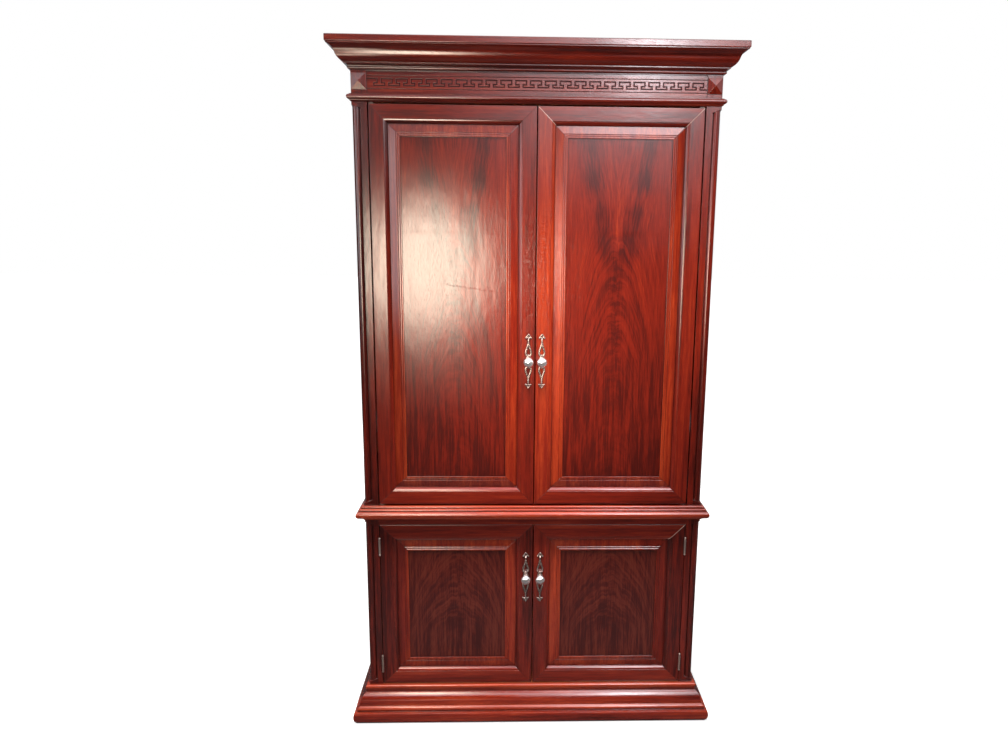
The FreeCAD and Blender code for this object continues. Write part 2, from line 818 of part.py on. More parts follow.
def upper_door():
    x0 = -(opening_half - upper_side_gap)
    width = -centre_gap / 2 - x0
    z0 = upper_floor + upper_end_gap
    height = upper_opening_height - 2 * upper_end_gap
    pieces = door_woodwork(x0, z0, width, height)
    outer = pivot_pin_radius + pivot_clearance + bush_wall
    bores = [rod(outer, point(pivot_x, pivot_y, z0), bush_length + bush_wall, point(0, 0, 1)),
             rod(outer, point(pivot_x, pivot_y, z0 + height), bush_length + bush_wall, point(0, 0, -1))]
    bores = Part.makeCompound(bores)
    pieces["stiles"] = [member.cut(bores) for member in pieces["stiles"]]
    pieces["rails"] = [member.cut(bores) for member in pieces["rails"]]
    handle_x = -centre_gap / 2 - upper_handle_inset
    handle_z = upper_floor + upper_handle_height
    pieces["handle_plate"] = [handle_plate(handle_x, handle_z)]
    pieces["knob"] = [knob(handle_x, handle_z)]
    pieces["pivot_bushes"] = pivot_bushes()
    return pieces


def lower_door():
    x0 = -(opening_half - lower_side_gap)
    width = -centre_gap / 2 - x0
    z0 = lower_floor + lower_end_gap
    height = lower_opening_height - 2 * lower_end_gap
    pieces = door_woodwork(x0, z0, width, height)
    leaves = Part.makeCompound([hinge_leaf_plate(1, level) for level in hinge_levels()])
    pieces["stiles"] = [member.cut(leaves) for member in pieces["stiles"]]
    handle_x = -centre_gap / 2 - lower_handle_inset
    handle_z = lower_floor + lower_handle_height
    pieces["handle_plate"] = [handle_plate(handle_x, handle_z)]
    pieces["knob"] = [knob(handle_x, handle_z)]
    middle = -catch_from_centre
    strike_top = z0 + height - strike_height
    strike = block(middle - strike_width / 2, middle + strike_width / 2, door_back - strike_thickness,
                   door_back, strike_top - strike_height, strike_top)
    pieces["rails"] = [member.cut(strike) for member in pieces["rails"]]
    pieces["fittings"] = [hinge_half(1, level) for level in hinge_levels()] + [strike]
    return pieces


# ---- Writing the nodes ----
def write_node(name, solids):
    Part.makeCompound(solids).exportStep(os.path.join("parts", name + ".step"))


def still_nodes():
    return {
        "plinth_frame": plinth_frame(), "lower_bottom": lower_bottom(), "lower_sides": lower_sides(),
        "base_moulding": case_moulding(base_outline, base_overhang, base_height, 0),
        "lower_back": lower_back(), "lower_posts": lower_posts(), "lower_face_rail": lower_face_rail(),
        "lower_top": lower_top(), "shelf": shelf(), "shelf_pins": shelf_pins(),
        "waist_moulding": case_moulding(waist_outline, waist_overhang, waist_height, waist_bottom),
        "magnet_catches": magnet_catches(), "lower_hinge_post_leaves": lower_hinge_post_leaves(),
        "case_screws": case_screws(), "upper_deck": upper_deck(), "upper_posts": upper_posts(),
        "upper_sides": upper_sides(), "upper_back": upper_back(), "upper_top": upper_top(),
        "neck_moulding": case_moulding(neck_outline, neck_overhang, neck_height, upper_ceiling),
        "frieze_board": frieze_board(), "frieze_sides": frieze_sides(), "rosette_blocks": rosette_blocks(),
        "cornice_moulding": case_moulding(crown_outline, crown_overhang, crown_height, crown_bottom),
        "cornice_cap": cornice_cap(), "door_slide_rails": door_slide_rails()}


def sided_nodes():
    """Pieces made for the left side and mirrored for the right."""
    groups = {"carrier_strip": carrier_strip(), "carrier_runners": carrier_runners(),
              "pivot_plates": pivot_plates()}
    nodes = {"left_" + name: solids for name, solids in groups.items()}
    nodes.update({"right_" + name: mirrored(solids) for name, solids in groups.items()})
    for level, door in (("upper", upper_door()), ("lower", lower_door())):
        for name, solids in door.items():
            nodes[level + "_left_" + name] = solids
            nodes[level + "_right_" + name] = mirrored(solids)
    return nodes


def main():
    os.makedirs("parts", exist_ok=True)
    nodes = still_nodes()
    nodes.update(sided_nodes())
    for name, solids in nodes.items():
        write_node(name, solids)
    print(len(nodes), "nodes")


main()
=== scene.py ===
"""Finishes a two-case television armoire: varnished mahogany, matched crotch veneer,
pewter and nickel handles, and the studio that it stands in.  Metres, Z up."""

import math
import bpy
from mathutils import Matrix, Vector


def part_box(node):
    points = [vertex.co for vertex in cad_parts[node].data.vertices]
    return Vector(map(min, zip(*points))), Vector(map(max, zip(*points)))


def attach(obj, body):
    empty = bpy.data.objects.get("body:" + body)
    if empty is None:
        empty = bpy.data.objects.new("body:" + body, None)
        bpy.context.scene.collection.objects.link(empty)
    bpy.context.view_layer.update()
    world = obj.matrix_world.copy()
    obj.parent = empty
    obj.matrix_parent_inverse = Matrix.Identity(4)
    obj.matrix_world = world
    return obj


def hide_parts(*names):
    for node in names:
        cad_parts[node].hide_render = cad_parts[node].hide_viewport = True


bl_info = {
    "name": "Television Armoire Finisher",
    "version": (1, 0, 0),
    "blender": (4, 5, 0),
    "location": "3D View > Sidebar > Armoire",
    "description": "Varnish, veneer, metalwork and studio for a mahogany television armoire",
    "category": "Object",
}

import bmesh
import bpy
from bpy.props import FloatProperty, FloatVectorProperty, PointerProperty
from mathutils import Matrix, Vector

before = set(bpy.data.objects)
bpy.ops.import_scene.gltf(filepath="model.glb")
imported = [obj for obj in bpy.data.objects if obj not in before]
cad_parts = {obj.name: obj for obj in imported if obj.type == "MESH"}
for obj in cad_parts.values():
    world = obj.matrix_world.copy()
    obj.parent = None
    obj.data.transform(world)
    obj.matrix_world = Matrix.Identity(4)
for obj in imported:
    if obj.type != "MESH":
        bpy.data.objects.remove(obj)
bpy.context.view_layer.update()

SIDES = ("left", "right")
LEVELS = ("upper", "lower")
PAIRS = [f"{level}_{side}" for level in LEVELS for side in SIDES]

# Half of a handle plate, from the middle of its knob: places are shares of the half-width and half-length,
# bars are a half-width in metres and a rise as a share of the plate's
LOOP_PATH = ((0.0, 0.645), (0.22, 0.56), (0.50, 0.45), (0.74, 0.35), (0.72, 0.26), (0.42, 0.21),
             (0.0, 0.195))
LOOP_BAR = (0.0027, 0.9)
NECK_SPAN = (0.62, 0.84)
NECK_BAR = (0.0024, 0.85)
SEAT_REACH = (0.84, 0.215)
HEAD_MIDDLE = 0.895
HEAD_HOLE = 0.0028
HEAD_RISE = 0.9
# The spade's edge: angle in degrees, from -90 towards the knob to 90 at the tip, and radius
HEAD_EDGE = ((-90, 0.0050), (-62, 0.0054), (-38, 0.0084), (-24, 0.0102), (-9, 0.0088), (4, 0.0070),
             (24, 0.0064), (46, 0.0064), (70, 0.0073), (90, 0.0091))
# The spade's rings: share of the edge's radius, or minus the share added to the hole's, and share of the rise
HEAD_RINGS = ((1.0, 0.0), (1.0, 0.45), (0.93, 0.85), (0.82, 1.0), (-0.4, 1.0), (-0.12, 0.8), (0.0, 0.3))
# Two beads on the neck, one by the seat, two lobes and the pin: place, reach both ways, share of the rise
DOMES = ((0.0, 0.665, 0.0031, 0.00248, 1.1), (0.0, 0.785, 0.0028, 0.00224, 1.1),
         (0.0, 0.225, 0.00338, 0.0026, 1.3), (0.74, 0.845, 0.0029, 0.00232, 1.15),
         (-0.74, 0.845, 0.0029, 0.00232, 1.15), (0.0, HEAD_MIDDLE, 0.0012, 0.0012, 0.35))


# ---- Sizes and colours that a user would change ----
def colour_property(name, description, default):
    return FloatVectorProperty(name=name, description=description, subtype="COLOR", size=3,
                               min=0.0, max=1.0, default=default)


def share_property(name, description, default):
    return FloatProperty(name=name, description=description, subtype="FACTOR",
                         min=0.0, max=1.0, default=default)


def length_property(name, description, default):
    return FloatProperty(name=name, description=description, subtype="DISTANCE", unit="LENGTH",
                         min=0.0, default=default)


def power_property(name, description, default):
    return FloatProperty(name=name, description=description, unit="POWER", min=0.0, default=default)


class ArmoireWoodSettings(bpy.types.PropertyGroup):
    """Colours and varnish of the mahogany."""
    heart: colour_property("Heartwood", "Main colour of the mahogany", (0.122, 0.0078, 0.0030))
    # The dark grain colour is also the glaze and painted shade in hollows
    shade: colour_property("Dark grain", "Dark grain, glaze and painted shade in corners", (0.030, 0.0026, 0.0017))
    glow: colour_property("Light grain", "Grain between the dark lines", (0.285, 0.0320, 0.0080))
    worn: colour_property("Rubbed edge", "Stain rubbed thin along edges", (0.330, 0.0800, 0.0350))
    # A painted highlight along the opened mitres at the tops of the doors
    chip: colour_property("Open joint highlight", "Opened mitre, lit as a painted highlight", (0.620, 0.4300, 0.3600))
    smoke: colour_property("Smoked veneer", "Brown of the aged lower panels", (0.075, 0.0160, 0.0080))
    inside: colour_property("Inside wood", "Wood inside the cases", (0.190, 0.0480, 0.0200))
    hardboard: colour_property("Back board", "Boards that close the back", (0.330, 0.1700, 0.0850))
    varnish: share_property("Varnish", "Weight of the clear coat", 1.0)
    varnish_blur: share_property("Varnish blur", "Roughness of the clear coat", 0.11)
    edge_round: length_property("Edge rounding", "Radius to which the arrises are eased", 0.0010)


class ArmoireMetalSettings(bpy.types.PropertyGroup):
    """Colours of the handles, hinges and slides."""
    nickel: colour_property("Nickel", "Bright knobs", (0.76, 0.71, 0.72))
    pewter: colour_property("Pewter", "Cast back plates and hinges", (0.38, 0.28, 0.245))
    tarnish: colour_property("Tarnish", "Metal where it has darkened", (0.10, 0.075, 0.068))
    zinc: colour_property("Zinc", "Plated slides and screws", (0.56, 0.57, 0.57))
    plastic: colour_property("Catch plastic", "Housings of the catches", (0.045, 0.022, 0.014))


class ArmoireStudioSettings(bpy.types.PropertyGroup):
    """Camera and lamps."""
    camera_x: length_property("Camera to the left", "Distance of the camera left of the middle", 0.0819)
    camera_y: length_property("Camera in front", "Distance of the camera in front of the origin", 2.57905)
    camera_z: length_property("Camera height", "Height of the camera above the floor", 1.6189)
    lens: FloatProperty(name="Lens", description="Focal length on a 36 mm wide sensor", unit="CAMERA",
                        min=1.0, default=26.786)
    pool_power: power_property("Pool power", "Power of the spot on the middle of the doors", 480.0)
    overhead_power: power_property("Overhead power", "Power of the lamp overhead", 30.0)
    down_power: power_property("Down light power", "Power of the spot over the lower case", 580.0)
    rear_power: power_property("Rear light power", "Power of the lamp behind the case", 110.0)
    floor_colour: colour_property("Floor", "Colour of the studio floor", (0.80, 0.80, 0.80))


# ---- Node helpers ----
class Recipe:
    """Builds one material's nodes; values go to sockets by name, and sockets are joined to sockets."""

    def __init__(self, name):
        self.material = bpy.data.materials.new(name)
        self.material.use_nodes = True
        self.tree = self.material.node_tree
        self.tree.nodes.clear()
        self.place = self.add("ShaderNodeTexCoord").outputs["Object"]

    def add(self, kind, options=None, **values):
        node = self.tree.nodes.new(kind)
        for key, value in (options or {}).items():
            setattr(node, key, value)
        for key, value in values.items():
            self.put(node.inputs[key.replace("_", " ")], value)
        return node

    def put(self, socket, value):
        if isinstance(value, bpy.types.NodeSocket):
            self.tree.links.new(value, socket)
        elif socket.type == "RGBA" and len(value) == 3:
            socket.default_value = (*value, 1.0)
        else:
            socket.default_value = value

    def math(self, operation, *values):
        """One operation on all the values, from the first to the last."""
        result = values[0]
        for value in values[1:] or [None]:
            node = self.tree.nodes.new("ShaderNodeMath")
            node.operation = operation
            self.put(node.inputs[0], result)
            if value is not None:
                self.put(node.inputs[1], value)
            result = node.outputs[0]
        return result

    def sum(self, *values):
        return self.math("ADD", *values)

    def times(self, *values):
        return self.math("MULTIPLY", *values)

    def less(self, first, second):
        return self.math("SUBTRACT", first, second)

    def most(self, first, second):
        return self.math("MAXIMUM", first, second)

    def least(self, first, second):
        return self.math("MINIMUM", first, second)

    def size(self, value):
        return self.math("ABSOLUTE", value)

    def ramp(self, value, low, high, out_low=0.0, out_high=1.0):
        """A smooth step from out_low to out_high as value goes from low to high."""
        node = self.tree.nodes.new("ShaderNodeMapRange")
        node.interpolation_type = "SMOOTHSTEP"
        for socket, entry in zip(node.inputs, (value, low, high, out_low, out_high)):
            self.put(socket, entry)
        return node.outputs[0]

    def mix(self, share, first, second):
        node = self.add("ShaderNodeMix", {"data_type": "RGBA"}, Factor=share)
        self.put(node.inputs[6], first)
        self.put(node.inputs[7], second)
        return node.outputs[2]

    def split(self, vector):
        return self.add("ShaderNodeSeparateXYZ", Vector=vector).outputs

    def join(self, x, y, z):
        return self.add("ShaderNodeCombineXYZ", X=x, Y=y, Z=z).outputs[0]

    def noise(self, vector, scale=1.0, detail=3.0, roughness=0.5, distortion=0.0):
        return self.add("ShaderNodeTexNoise", Vector=vector, Scale=scale, Detail=detail,
                        Roughness=roughness, Distortion=distortion).outputs[0]

    def blob(self, first, second, middle, reach, power):
        """1 in the middle of a soft oval on two coordinates, fading beyond its reach."""
        across = self.times(self.less(first, middle[0]), 1 / reach[0])
        along = self.times(self.less(second, middle[1]), 1 / reach[1])
        square = self.sum(self.times(across, across), self.times(along, along))
        return self.math("EXPONENT", self.times(self.math("POWER", square, power / 2), -1.0))

    def band(self, value, middle, reach, power):
        """The same along one coordinate."""
        return self.blob(value, 0.0, (middle, 0.0), (reach, 1.0), power)

    def light(self, first, second, patch):
        """A soft oval of light from its middle, reach, sharpness and strength."""
        *shape, strength = patch
        return self.times(self.blob(first, second, *shape), strength)

    def both(self, first, second):
        node = self.tree.nodes.new("ShaderNodeAddShader")
        self.put(node.inputs[0], first.outputs[0])
        self.put(node.inputs[1], second.outputs[0])
        return node

    def surface(self, colour, roughness, bump, height, bevel=None, bare=0.0):
        """The finished material; bump is strength and depth, bevel is samples and radius."""
        relief = self.add("ShaderNodeBump", Strength=bump[0], Distance=bump[1], Height=height)
        if bevel is not None:
            eased = self.add("ShaderNodeBevel", {"samples": bevel[0]}, Radius=bevel[1])
            self.put(relief.inputs["Normal"], eased.outputs[0])
        return self.finish(self.add("ShaderNodeBsdfPrincipled", Base_Color=colour, Metallic=bare,
                                    Roughness=roughness, Normal=relief.outputs[0]))

    def finish(self, shader):
        output = self.tree.nodes.new("ShaderNodeOutputMaterial")
        self.tree.links.new(shader.outputs[0], output.inputs["Surface"])
        return self.material


def scene():
    return bpy.context.scene


def new_object(name, data):
    made = bpy.data.objects.new(name, data)
    scene().collection.objects.link(made)
    return made


def dress(nodes, material):
    """Puts one material on each of these nodes of the frame."""
    for name in nodes:
        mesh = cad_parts[name].data
        mesh.materials.clear()
        mesh.materials.append(material)


# ---- Cast pieces ----
def smooth_loop(points, steps=6):
    """Points along a closed Catmull-Rom curve through the given ones."""
    path = []
    for index in range(len(points)):
        p0, p1, p2, p3 = [Vector(points[(index + shift) % len(points)]) for shift in (-1, 0, 1, 2)]
        for step in range(steps):
            t = step / steps
            path.append(0.5 * (2 * p1 + (p2 - p0) * t + (2 * p0 - 5 * p1 + 4 * p2 - p3) * t * t
                               + (3 * p1 - p0 - 3 * p2 + p3) * t * t * t))
    return path


def bridge_rings(mesh, rings, closed):
    """Faces between rings of vertices that all have the same number."""
    count = len(rings[0])
    spans = len(rings) if closed else len(rings) - 1
    for index in range(spans):
        first, second = rings[index], rings[(index + 1) % len(rings)]
        for corner in range(count):
            after = (corner + 1) % count
            mesh.faces.new((first[corner], first[after], second[after], second[corner]))


def flat_bar(mesh, path, half_width, rise, closed, sides=12):
    """A bar of half-round section that lies on the plane y = 0 and follows a path of (x, z)."""
    rings = []
    for index, spot in enumerate(path):
        before = path[index - 1] if closed or index else spot
        after = path[(index + 1) % len(path)] if closed or index < len(path) - 1 else spot
        along = (after - before).normalized()
        across = Vector((-along.y, along.x))
        ring = []
        for corner in range(sides):
            turn = 2 * math.pi * corner / sides
            out = across * (half_width * math.cos(turn))
            ring.append(mesh.verts.new((spot.x + out.x, -rise * (1 + math.sin(turn)) / 2, spot.y + out.y)))
        rings.append(ring)
    bridge_rings(mesh, rings, closed)
    if not closed:
        mesh.faces.new(rings[0][::-1])
        mesh.faces.new(rings[-1])


def flat_dome(mesh, x, z, reach_x, reach_z, rise):
    """Half of a flattened ball, which stands on the plane y = 0."""
    made = bmesh.ops.create_uvsphere(mesh, u_segments=20, v_segments=12, radius=1.0)
    for vertex in made["verts"]:
        spot = vertex.co
        vertex.co = Vector((x + spot.x * reach_x, -max(-spot.y, 0.0) * rise, z + spot.z * reach_z))


def pierced_head(mesh, way, half_length, rise, sides=48):
    """The spade at one end: a thick ring round its pin hole with an edge that swells to two shoulders."""
    middle = HEAD_MIDDLE * half_length
    rings = []
    for share, depth in HEAD_RINGS:
        ring = []
        for corner in range(sides):
            degrees = 360 * corner / sides - 90
            height = degrees if degrees <= 90 else 180 - degrees
            radius = HEAD_HOLE * (1 - share) if share <= 0 else head_radius(height) * share
            turn = math.radians(degrees)
            ring.append(mesh.verts.new((radius * math.cos(turn), -rise * depth,
                                        way * (middle + radius * math.sin(turn)))))
        rings.append(ring)
    bridge_rings(mesh, rings, False)


def head_radius(degrees):
    """Radius of the spade's edge at a height, eased between the points of HEAD_EDGE."""
    for (low, low_radius), (high, high_radius) in zip(HEAD_EDGE, HEAD_EDGE[1:]):
        if degrees <= high:
            share = (degrees - low) / (high - low)
            share = share * share * (3 - 2 * share)
            return low_radius + (high_radius - low_radius) * share
    return HEAD_EDGE[-1][1]


def cast_plate(name, node, body, material):
    """A pierced handle plate with rounded bars, in the place of its plain node."""
    low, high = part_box(node)
    middle = (low + high) / 2
    half_width, half_length = (high.x - low.x) / 2, (high.z - low.z) / 2
    rise = high.y - low.y
    mesh = bmesh.new()
    for way in (1, -1):
        loop = [(x * half_width, z * half_length * way) for x, z in LOOP_PATH]
        loop += [(-x, z) for x, z in loop[-2:0:-1]]
        flat_bar(mesh, smooth_loop(loop), LOOP_BAR[0], rise * LOOP_BAR[1], True)
        neck = [Vector((0.0, share * half_length * way)) for share in NECK_SPAN]
        flat_bar(mesh, neck, NECK_BAR[0], rise * NECK_BAR[1], False)
        pierced_head(mesh, way, half_length, rise * HEAD_RISE)
        for x, z, across, along, share in DOMES:
            flat_dome(mesh, x * half_width, z * half_length * way, across, along, rise * share)
    flat_dome(mesh, 0.0, 0.0, SEAT_REACH[0] * half_width, SEAT_REACH[1] * half_length, rise)
    bmesh.ops.recalc_face_normals(mesh, faces=mesh.faces)
    for face in mesh.faces:
        face.smooth = True
    data = bpy.data.meshes.new(name)
    mesh.to_mesh(data)
    mesh.free()
    data.materials.append(material)
    piece = new_object(name, data)
    piece.location = (middle.x, high.y, middle.z)
    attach(piece, body)
    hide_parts(node)


# ---- Wood ----
GRAIN_STRETCH = 0.045
LACQUER_STRETCH = 0.35
# Bands, streaks and fibres: scale, detail, roughness and distortion, and the values that they run between
GRAIN_LAYERS = (((22.0, 3.0, 0.55, 0.4), (0.36, 0.66)), ((130.0, 4.0, 0.6, 0.2), (0.34, 0.68)),
                ((620.0, 2.0, 0.5), (0.35, 0.7)))
PORE_TONE = 0.4
PORE_DEPTH = 0.15
EDGE_COSINES = (0.995, 0.90)
# How far the glaze and painted shade reach into hollows, and how they fade
GLAZE_AND_SHADE_REACH = 0.014
GLAZE_AND_SHADE_RAMP = (0.50, 0.95, 0.84, 0.0)
MITRE_TONE = 0.85
MITRE_HALF_WIDTHS = (0.0004, 0.0011)
BUMP_STRENGTH = 0.25
BUMP_DEPTH = 0.0006
SHINE_DRIFT = 0.10
SHEEN_UNDER_VARNISH = 0.1
BAND_GLOSS = 0.3


def stretched(recipe, run, share):
    """Coordinates stretched along the grain, which runs up ("z") or across ("x")."""
    x, y, z = recipe.split(recipe.place)
    if run == "z":
        return recipe.join(x, y, recipe.times(z, share))
    return recipe.join(recipe.times(x, share), y, z)


def straight_grain(recipe, space):
    """Broad bands, streaks and fine fibres, each from 0 to 1."""
    return [recipe.ramp(recipe.noise(space, *look), *limits) for look, limits in GRAIN_LAYERS]


def pore_lines(recipe, space):
    return recipe.ramp(recipe.noise(space, 1500.0, 1.0, 0.4), 0.62, 0.72)


def wood_surface(recipe, tone, pores, wave, mitre=None, gloss=0.35, varnish=None, chip=0.0, smoke=0.0):
    """A varnished wood shader from a tone of 0, dark, to 1, light."""
    wood = scene().armoire_wood
    colour = recipe.mix(recipe.ramp(tone, 0.0, 0.5), wood.shade, wood.heart)
    colour = recipe.mix(recipe.ramp(tone, 0.4, 1.0), colour, wood.glow)
    colour = recipe.mix(recipe.times(recipe.ramp(tone, 0.05, 0.45), smoke), colour, wood.smoke)
    colour = recipe.mix(recipe.times(pores, PORE_TONE), colour, wood.shade)
    eased = recipe.add("ShaderNodeBevel", {"samples": 6}, Radius=wood.edge_round).outputs[0]
    facing = recipe.add("ShaderNodeVectorMath", {"operation": "DOT_PRODUCT"})
    recipe.put(facing.inputs[0], eased)
    recipe.put(facing.inputs[1], recipe.add("ShaderNodeNewGeometry").outputs["Normal"])
    edge = recipe.ramp(facing.outputs["Value"], *EDGE_COSINES)
    rubbed = recipe.ramp(recipe.noise(recipe.place, 60.0, 3.0), 0.45, 0.7, 0.05, 0.55)
    colour = recipe.mix(recipe.times(edge, rubbed), colour, wood.worn)
    # Glaze and painted shade: the colour darkens towards the dark grain in hollows and close to other parts
    hollow = recipe.add("ShaderNodeAmbientOcclusion", {"samples": 6}, Distance=GLAZE_AND_SHADE_REACH)
    colour = recipe.mix(recipe.ramp(hollow.outputs["AO"], *GLAZE_AND_SHADE_RAMP), colour, wood.shade)
    height = recipe.sum(recipe.times(pores, -PORE_DEPTH), wave)
    if mitre is not None:
        # Dark joint lines, which get a painted highlight where the top mitres have opened
        dark_or_highlit_joint = recipe.mix(chip, wood.shade, wood.chip)
        colour = recipe.mix(recipe.times(mitre, MITRE_TONE), colour, dark_or_highlit_joint)
        height = recipe.sum(height, recipe.times(mitre, -1.0))
    bump = recipe.add("ShaderNodeBump", Strength=BUMP_STRENGTH, Distance=BUMP_DEPTH, Height=height,
                      Normal=eased).outputs[0]
    shine = recipe.sum(gloss, recipe.times(recipe.noise(recipe.place, 9.0, 3.0), SHINE_DRIFT))
    shader = recipe.add("ShaderNodeBsdfPrincipled", Base_Color=colour, Roughness=shine, Normal=bump,
                        Coat_Normal=bump, Coat_Roughness=wood.varnish_blur,
                        Specular_IOR_Level=SHEEN_UNDER_VARNISH)
    recipe.put(shader.inputs["Coat Weight"], wood.varnish if varnish is None else varnish(recipe))
    return recipe.finish(shader)


def lacquer_wave(recipe, run):
    """Slow unevenness of the brushed lacquer."""
    space = stretched(recipe, run, LACQUER_STRETCH)
    slow = recipe.noise(space, 24.0, 2.0, 0.4)
    fine = recipe.noise(space, 90.0, 2.0, 0.4)
    return recipe.sum(recipe.times(slow, 3.0), recipe.times(fine, 0.8))


def plain_wood(name, run, lift=0.0, gloss=0.35, mitre_box=None, stain_and_painted_light=None, varnish=None, joint_highlight_from=None):
    """Straight-grained mahogany; lift moves it lighter or darker, and an optional function adds tones worked
    out from the place: stains, tones of single boards, and painted light and shade."""
    recipe = Recipe(name)
    space = stretched(recipe, run, GRAIN_STRETCH)
    bands, streaks, fibres = straight_grain(recipe, space)
    tone = recipe.sum(recipe.times(bands, 0.26), recipe.times(streaks, 0.24), recipe.times(fibres, 0.14),
                      lift + 0.12)
    if stain_and_painted_light is not None:
        tone = recipe.sum(tone, stain_and_painted_light(recipe))
    mitre = None if mitre_box is None else mitre_line(recipe, mitre_box)
    chip = 0.0 if joint_highlight_from is None else mitre_chip(recipe, mitre_box, joint_highlight_from)
    pores = pore_lines(recipe, space)
    return wood_surface(recipe, tone, pores, lacquer_wave(recipe, run), mitre, gloss, varnish, chip)


FRIEZE_RECESS = 0.003
KEY_DEPTHS = (0.0003, 0.0009)


def key_groove(recipe):
    """1 in the carved key, which lies below the frieze's face."""
    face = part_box("frieze_board")[0].y + FRIEZE_RECESS
    return recipe.ramp(recipe.split(recipe.place)[1], *[face + depth for depth in KEY_DEPTHS])


def key_stain(recipe):
    # Partly stain, partly painted shade: the carved key is darkened
    return recipe.times(key_groove(recipe), -0.8)


def key_varnish(recipe):
    """The grooves hold no varnish that would shine."""
    return recipe.less(1.0, recipe.times(key_groove(recipe), 0.92))


SCRATCH_SPOT = (-0.205, 1.452)
SCRATCH_SLOPE = 0.14
SCRATCH_REACH = 0.085
SCRATCH_HALF_WIDTHS = (0.0004, 0.0028)
SCRATCH_EDGE = 0.0012
SCRATCH_DULLNESS = 0.40


def varnish_scratch(recipe):
    """A dull wavy scratch across the upper left panel."""
    x, _, z = recipe.split(recipe.place)
    wobble = recipe.sum(recipe.noise(recipe.join(x, 0.0, 0.0), 45.0, 3.0), -0.5)
    along = recipe.times(recipe.sum(x, -SCRATCH_SPOT[0]), SCRATCH_SLOPE)
    line = recipe.sum(along, recipe.times(wobble, 0.012), recipe.sum(z, -SCRATCH_SPOT[1]))
    width = recipe.ramp(recipe.noise(recipe.join(x, 0.0, z), 90.0, 2.0), 0.40, 0.65, *SCRATCH_HALF_WIDTHS)
    mark = recipe.ramp(recipe.size(line), width, recipe.sum(width, SCRATCH_EDGE), 1.0, 0.0)
    mark = recipe.times(mark, recipe.band(x, SCRATCH_SPOT[0], SCRATCH_REACH, 8.0), SCRATCH_DULLNESS)
    return recipe.less(1.0, mark)


def stile_tones(recipe):
    """A painted glow of light on the meeting stiles, strongest on the right door's half-way up, and painted
    shade towards the top of the upper left door's hinge stile.  The lower doors are dark at their hinges."""
    x, _, z = recipe.split(recipe.place)
    off = recipe.size(x)
    meeting = recipe.ramp(off, 0.10, 0.12, 1.0, 0.0)
    half_way = recipe.band(z, 1.33, 0.30, 4.0)
    right_door = recipe.ramp(x, -0.0005, 0.0005)
    painted_glow = recipe.times(meeting, right_door, recipe.sum(recipe.times(half_way, 0.12), 0.09))
    top_left_shade = recipe.times(recipe.ramp(x, -0.40, -0.44), recipe.ramp(z, 1.60, 1.90, -0.02, -0.16))
    outer = recipe.times(recipe.ramp(off, 0.36, 0.40), recipe.ramp(z, 0.72, 0.80, -0.10, -0.02))
    return recipe.sum(painted_glow, recipe.times(meeting, 0.03), top_left_shade, -0.07, outer)


def band_tones(recipe):
    """On the hinge sides the moulding is lighter above and darker below."""
    x, _, z = recipe.split(recipe.place)
    return recipe.times(recipe.ramp(recipe.size(x), 0.30, 0.42), recipe.ramp(z, 0.75, 0.85, -0.12, 0.10))


def foot_tone(recipe):
    """The foot of the base is darker, its hollow darker by a painted shade, and its top and the waist lighter
    by painted light from above.
    """
    z = recipe.split(recipe.place)[2]
    hollow = recipe.times(recipe.ramp(z, 0.060, 0.070), recipe.ramp(z, 0.106, 0.098, 0.0, -0.24))
    above = recipe.ramp(z, 0.106, 0.112, 0.0, 0.16)
    return recipe.sum(recipe.ramp(z, 0.045, 0.030, 0.0, -0.24), hollow, above)


def from_edges(recipe, value, low, high):
    """Distance inwards from the nearer of two edges."""
    return recipe.least(recipe.less(value, low), recipe.less(high, value))


def mitre_line(recipe, box):
    """1 along the diagonals from the corners of a door, which are the same for both doors of a pair."""
    (x0, z0), (x1, z1) = box
    x, _, z = recipe.split(recipe.place)
    off = recipe.less(from_edges(recipe, recipe.size(x), x0, x1), from_edges(recipe, z, z0, z1))
    return recipe.ramp(recipe.size(off), *MITRE_HALF_WIDTHS, 1.0, 0.0)


def mitre_chip(recipe, box, inner):
    """1 where a painted highlight lies along the opened joints at the top of a door, at x beyond inner."""
    x, _, z = recipe.split(recipe.place)
    top = box[1][1]
    return recipe.times(recipe.ramp(z, top - 0.10, top - 0.09), recipe.ramp(x, inner, inner + 0.001))


def door_box(level):
    """Lowest and highest |x| and z of the doors at one level."""
    low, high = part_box(level + "_right_stiles")
    return (low.x, low.z), (high.x, high.z)


# Dark places of a panel's figure: share of the half-width and of the height, reach of both, weight
UPPER_HEARTS = ((0.45, 0.975, 0.17, 0.050, 0.20), (0.40, 0.905, 0.12, 0.050, 0.18),
                (0.38, 0.850, 0.13, 0.032, 0.30), (0.27, 0.775, 0.13, 0.030, 0.26),
                (0.21, 0.715, 0.15, 0.040, 0.20), (0.13, 0.665, 0.14, 0.035, 0.18),
                (0.00, 0.620, 0.15, 0.035, 0.22), (0.00, 0.565, 0.10, 0.014, 0.22),
                (0.00, 0.525, 0.07, 0.014, 0.22), (0.00, 0.430, 0.07, 0.050, 0.12))
LOWER_HEARTS = ((0.0, 0.45, 0.12, 0.16, 0.08),)
VENEERS = {
    "upper": {"arch": 0.045, "split_level": 0.67, "hearts": UPPER_HEARTS, "foot_shade": 0.22},
    "lower": {"arch": 0.10, "split_level": 1.2, "hearts": LOWER_HEARTS, "foot_shade": 0.03, "contrast": 0.9,
              "lift": -0.24, "smoke": 0.7},
}
WIDE_FIGURE = (20.0, 3.0, 0.6)
THIN_FIGURE = (62.0, 4.0, 0.65)
DARKEST_TONE = 0.03


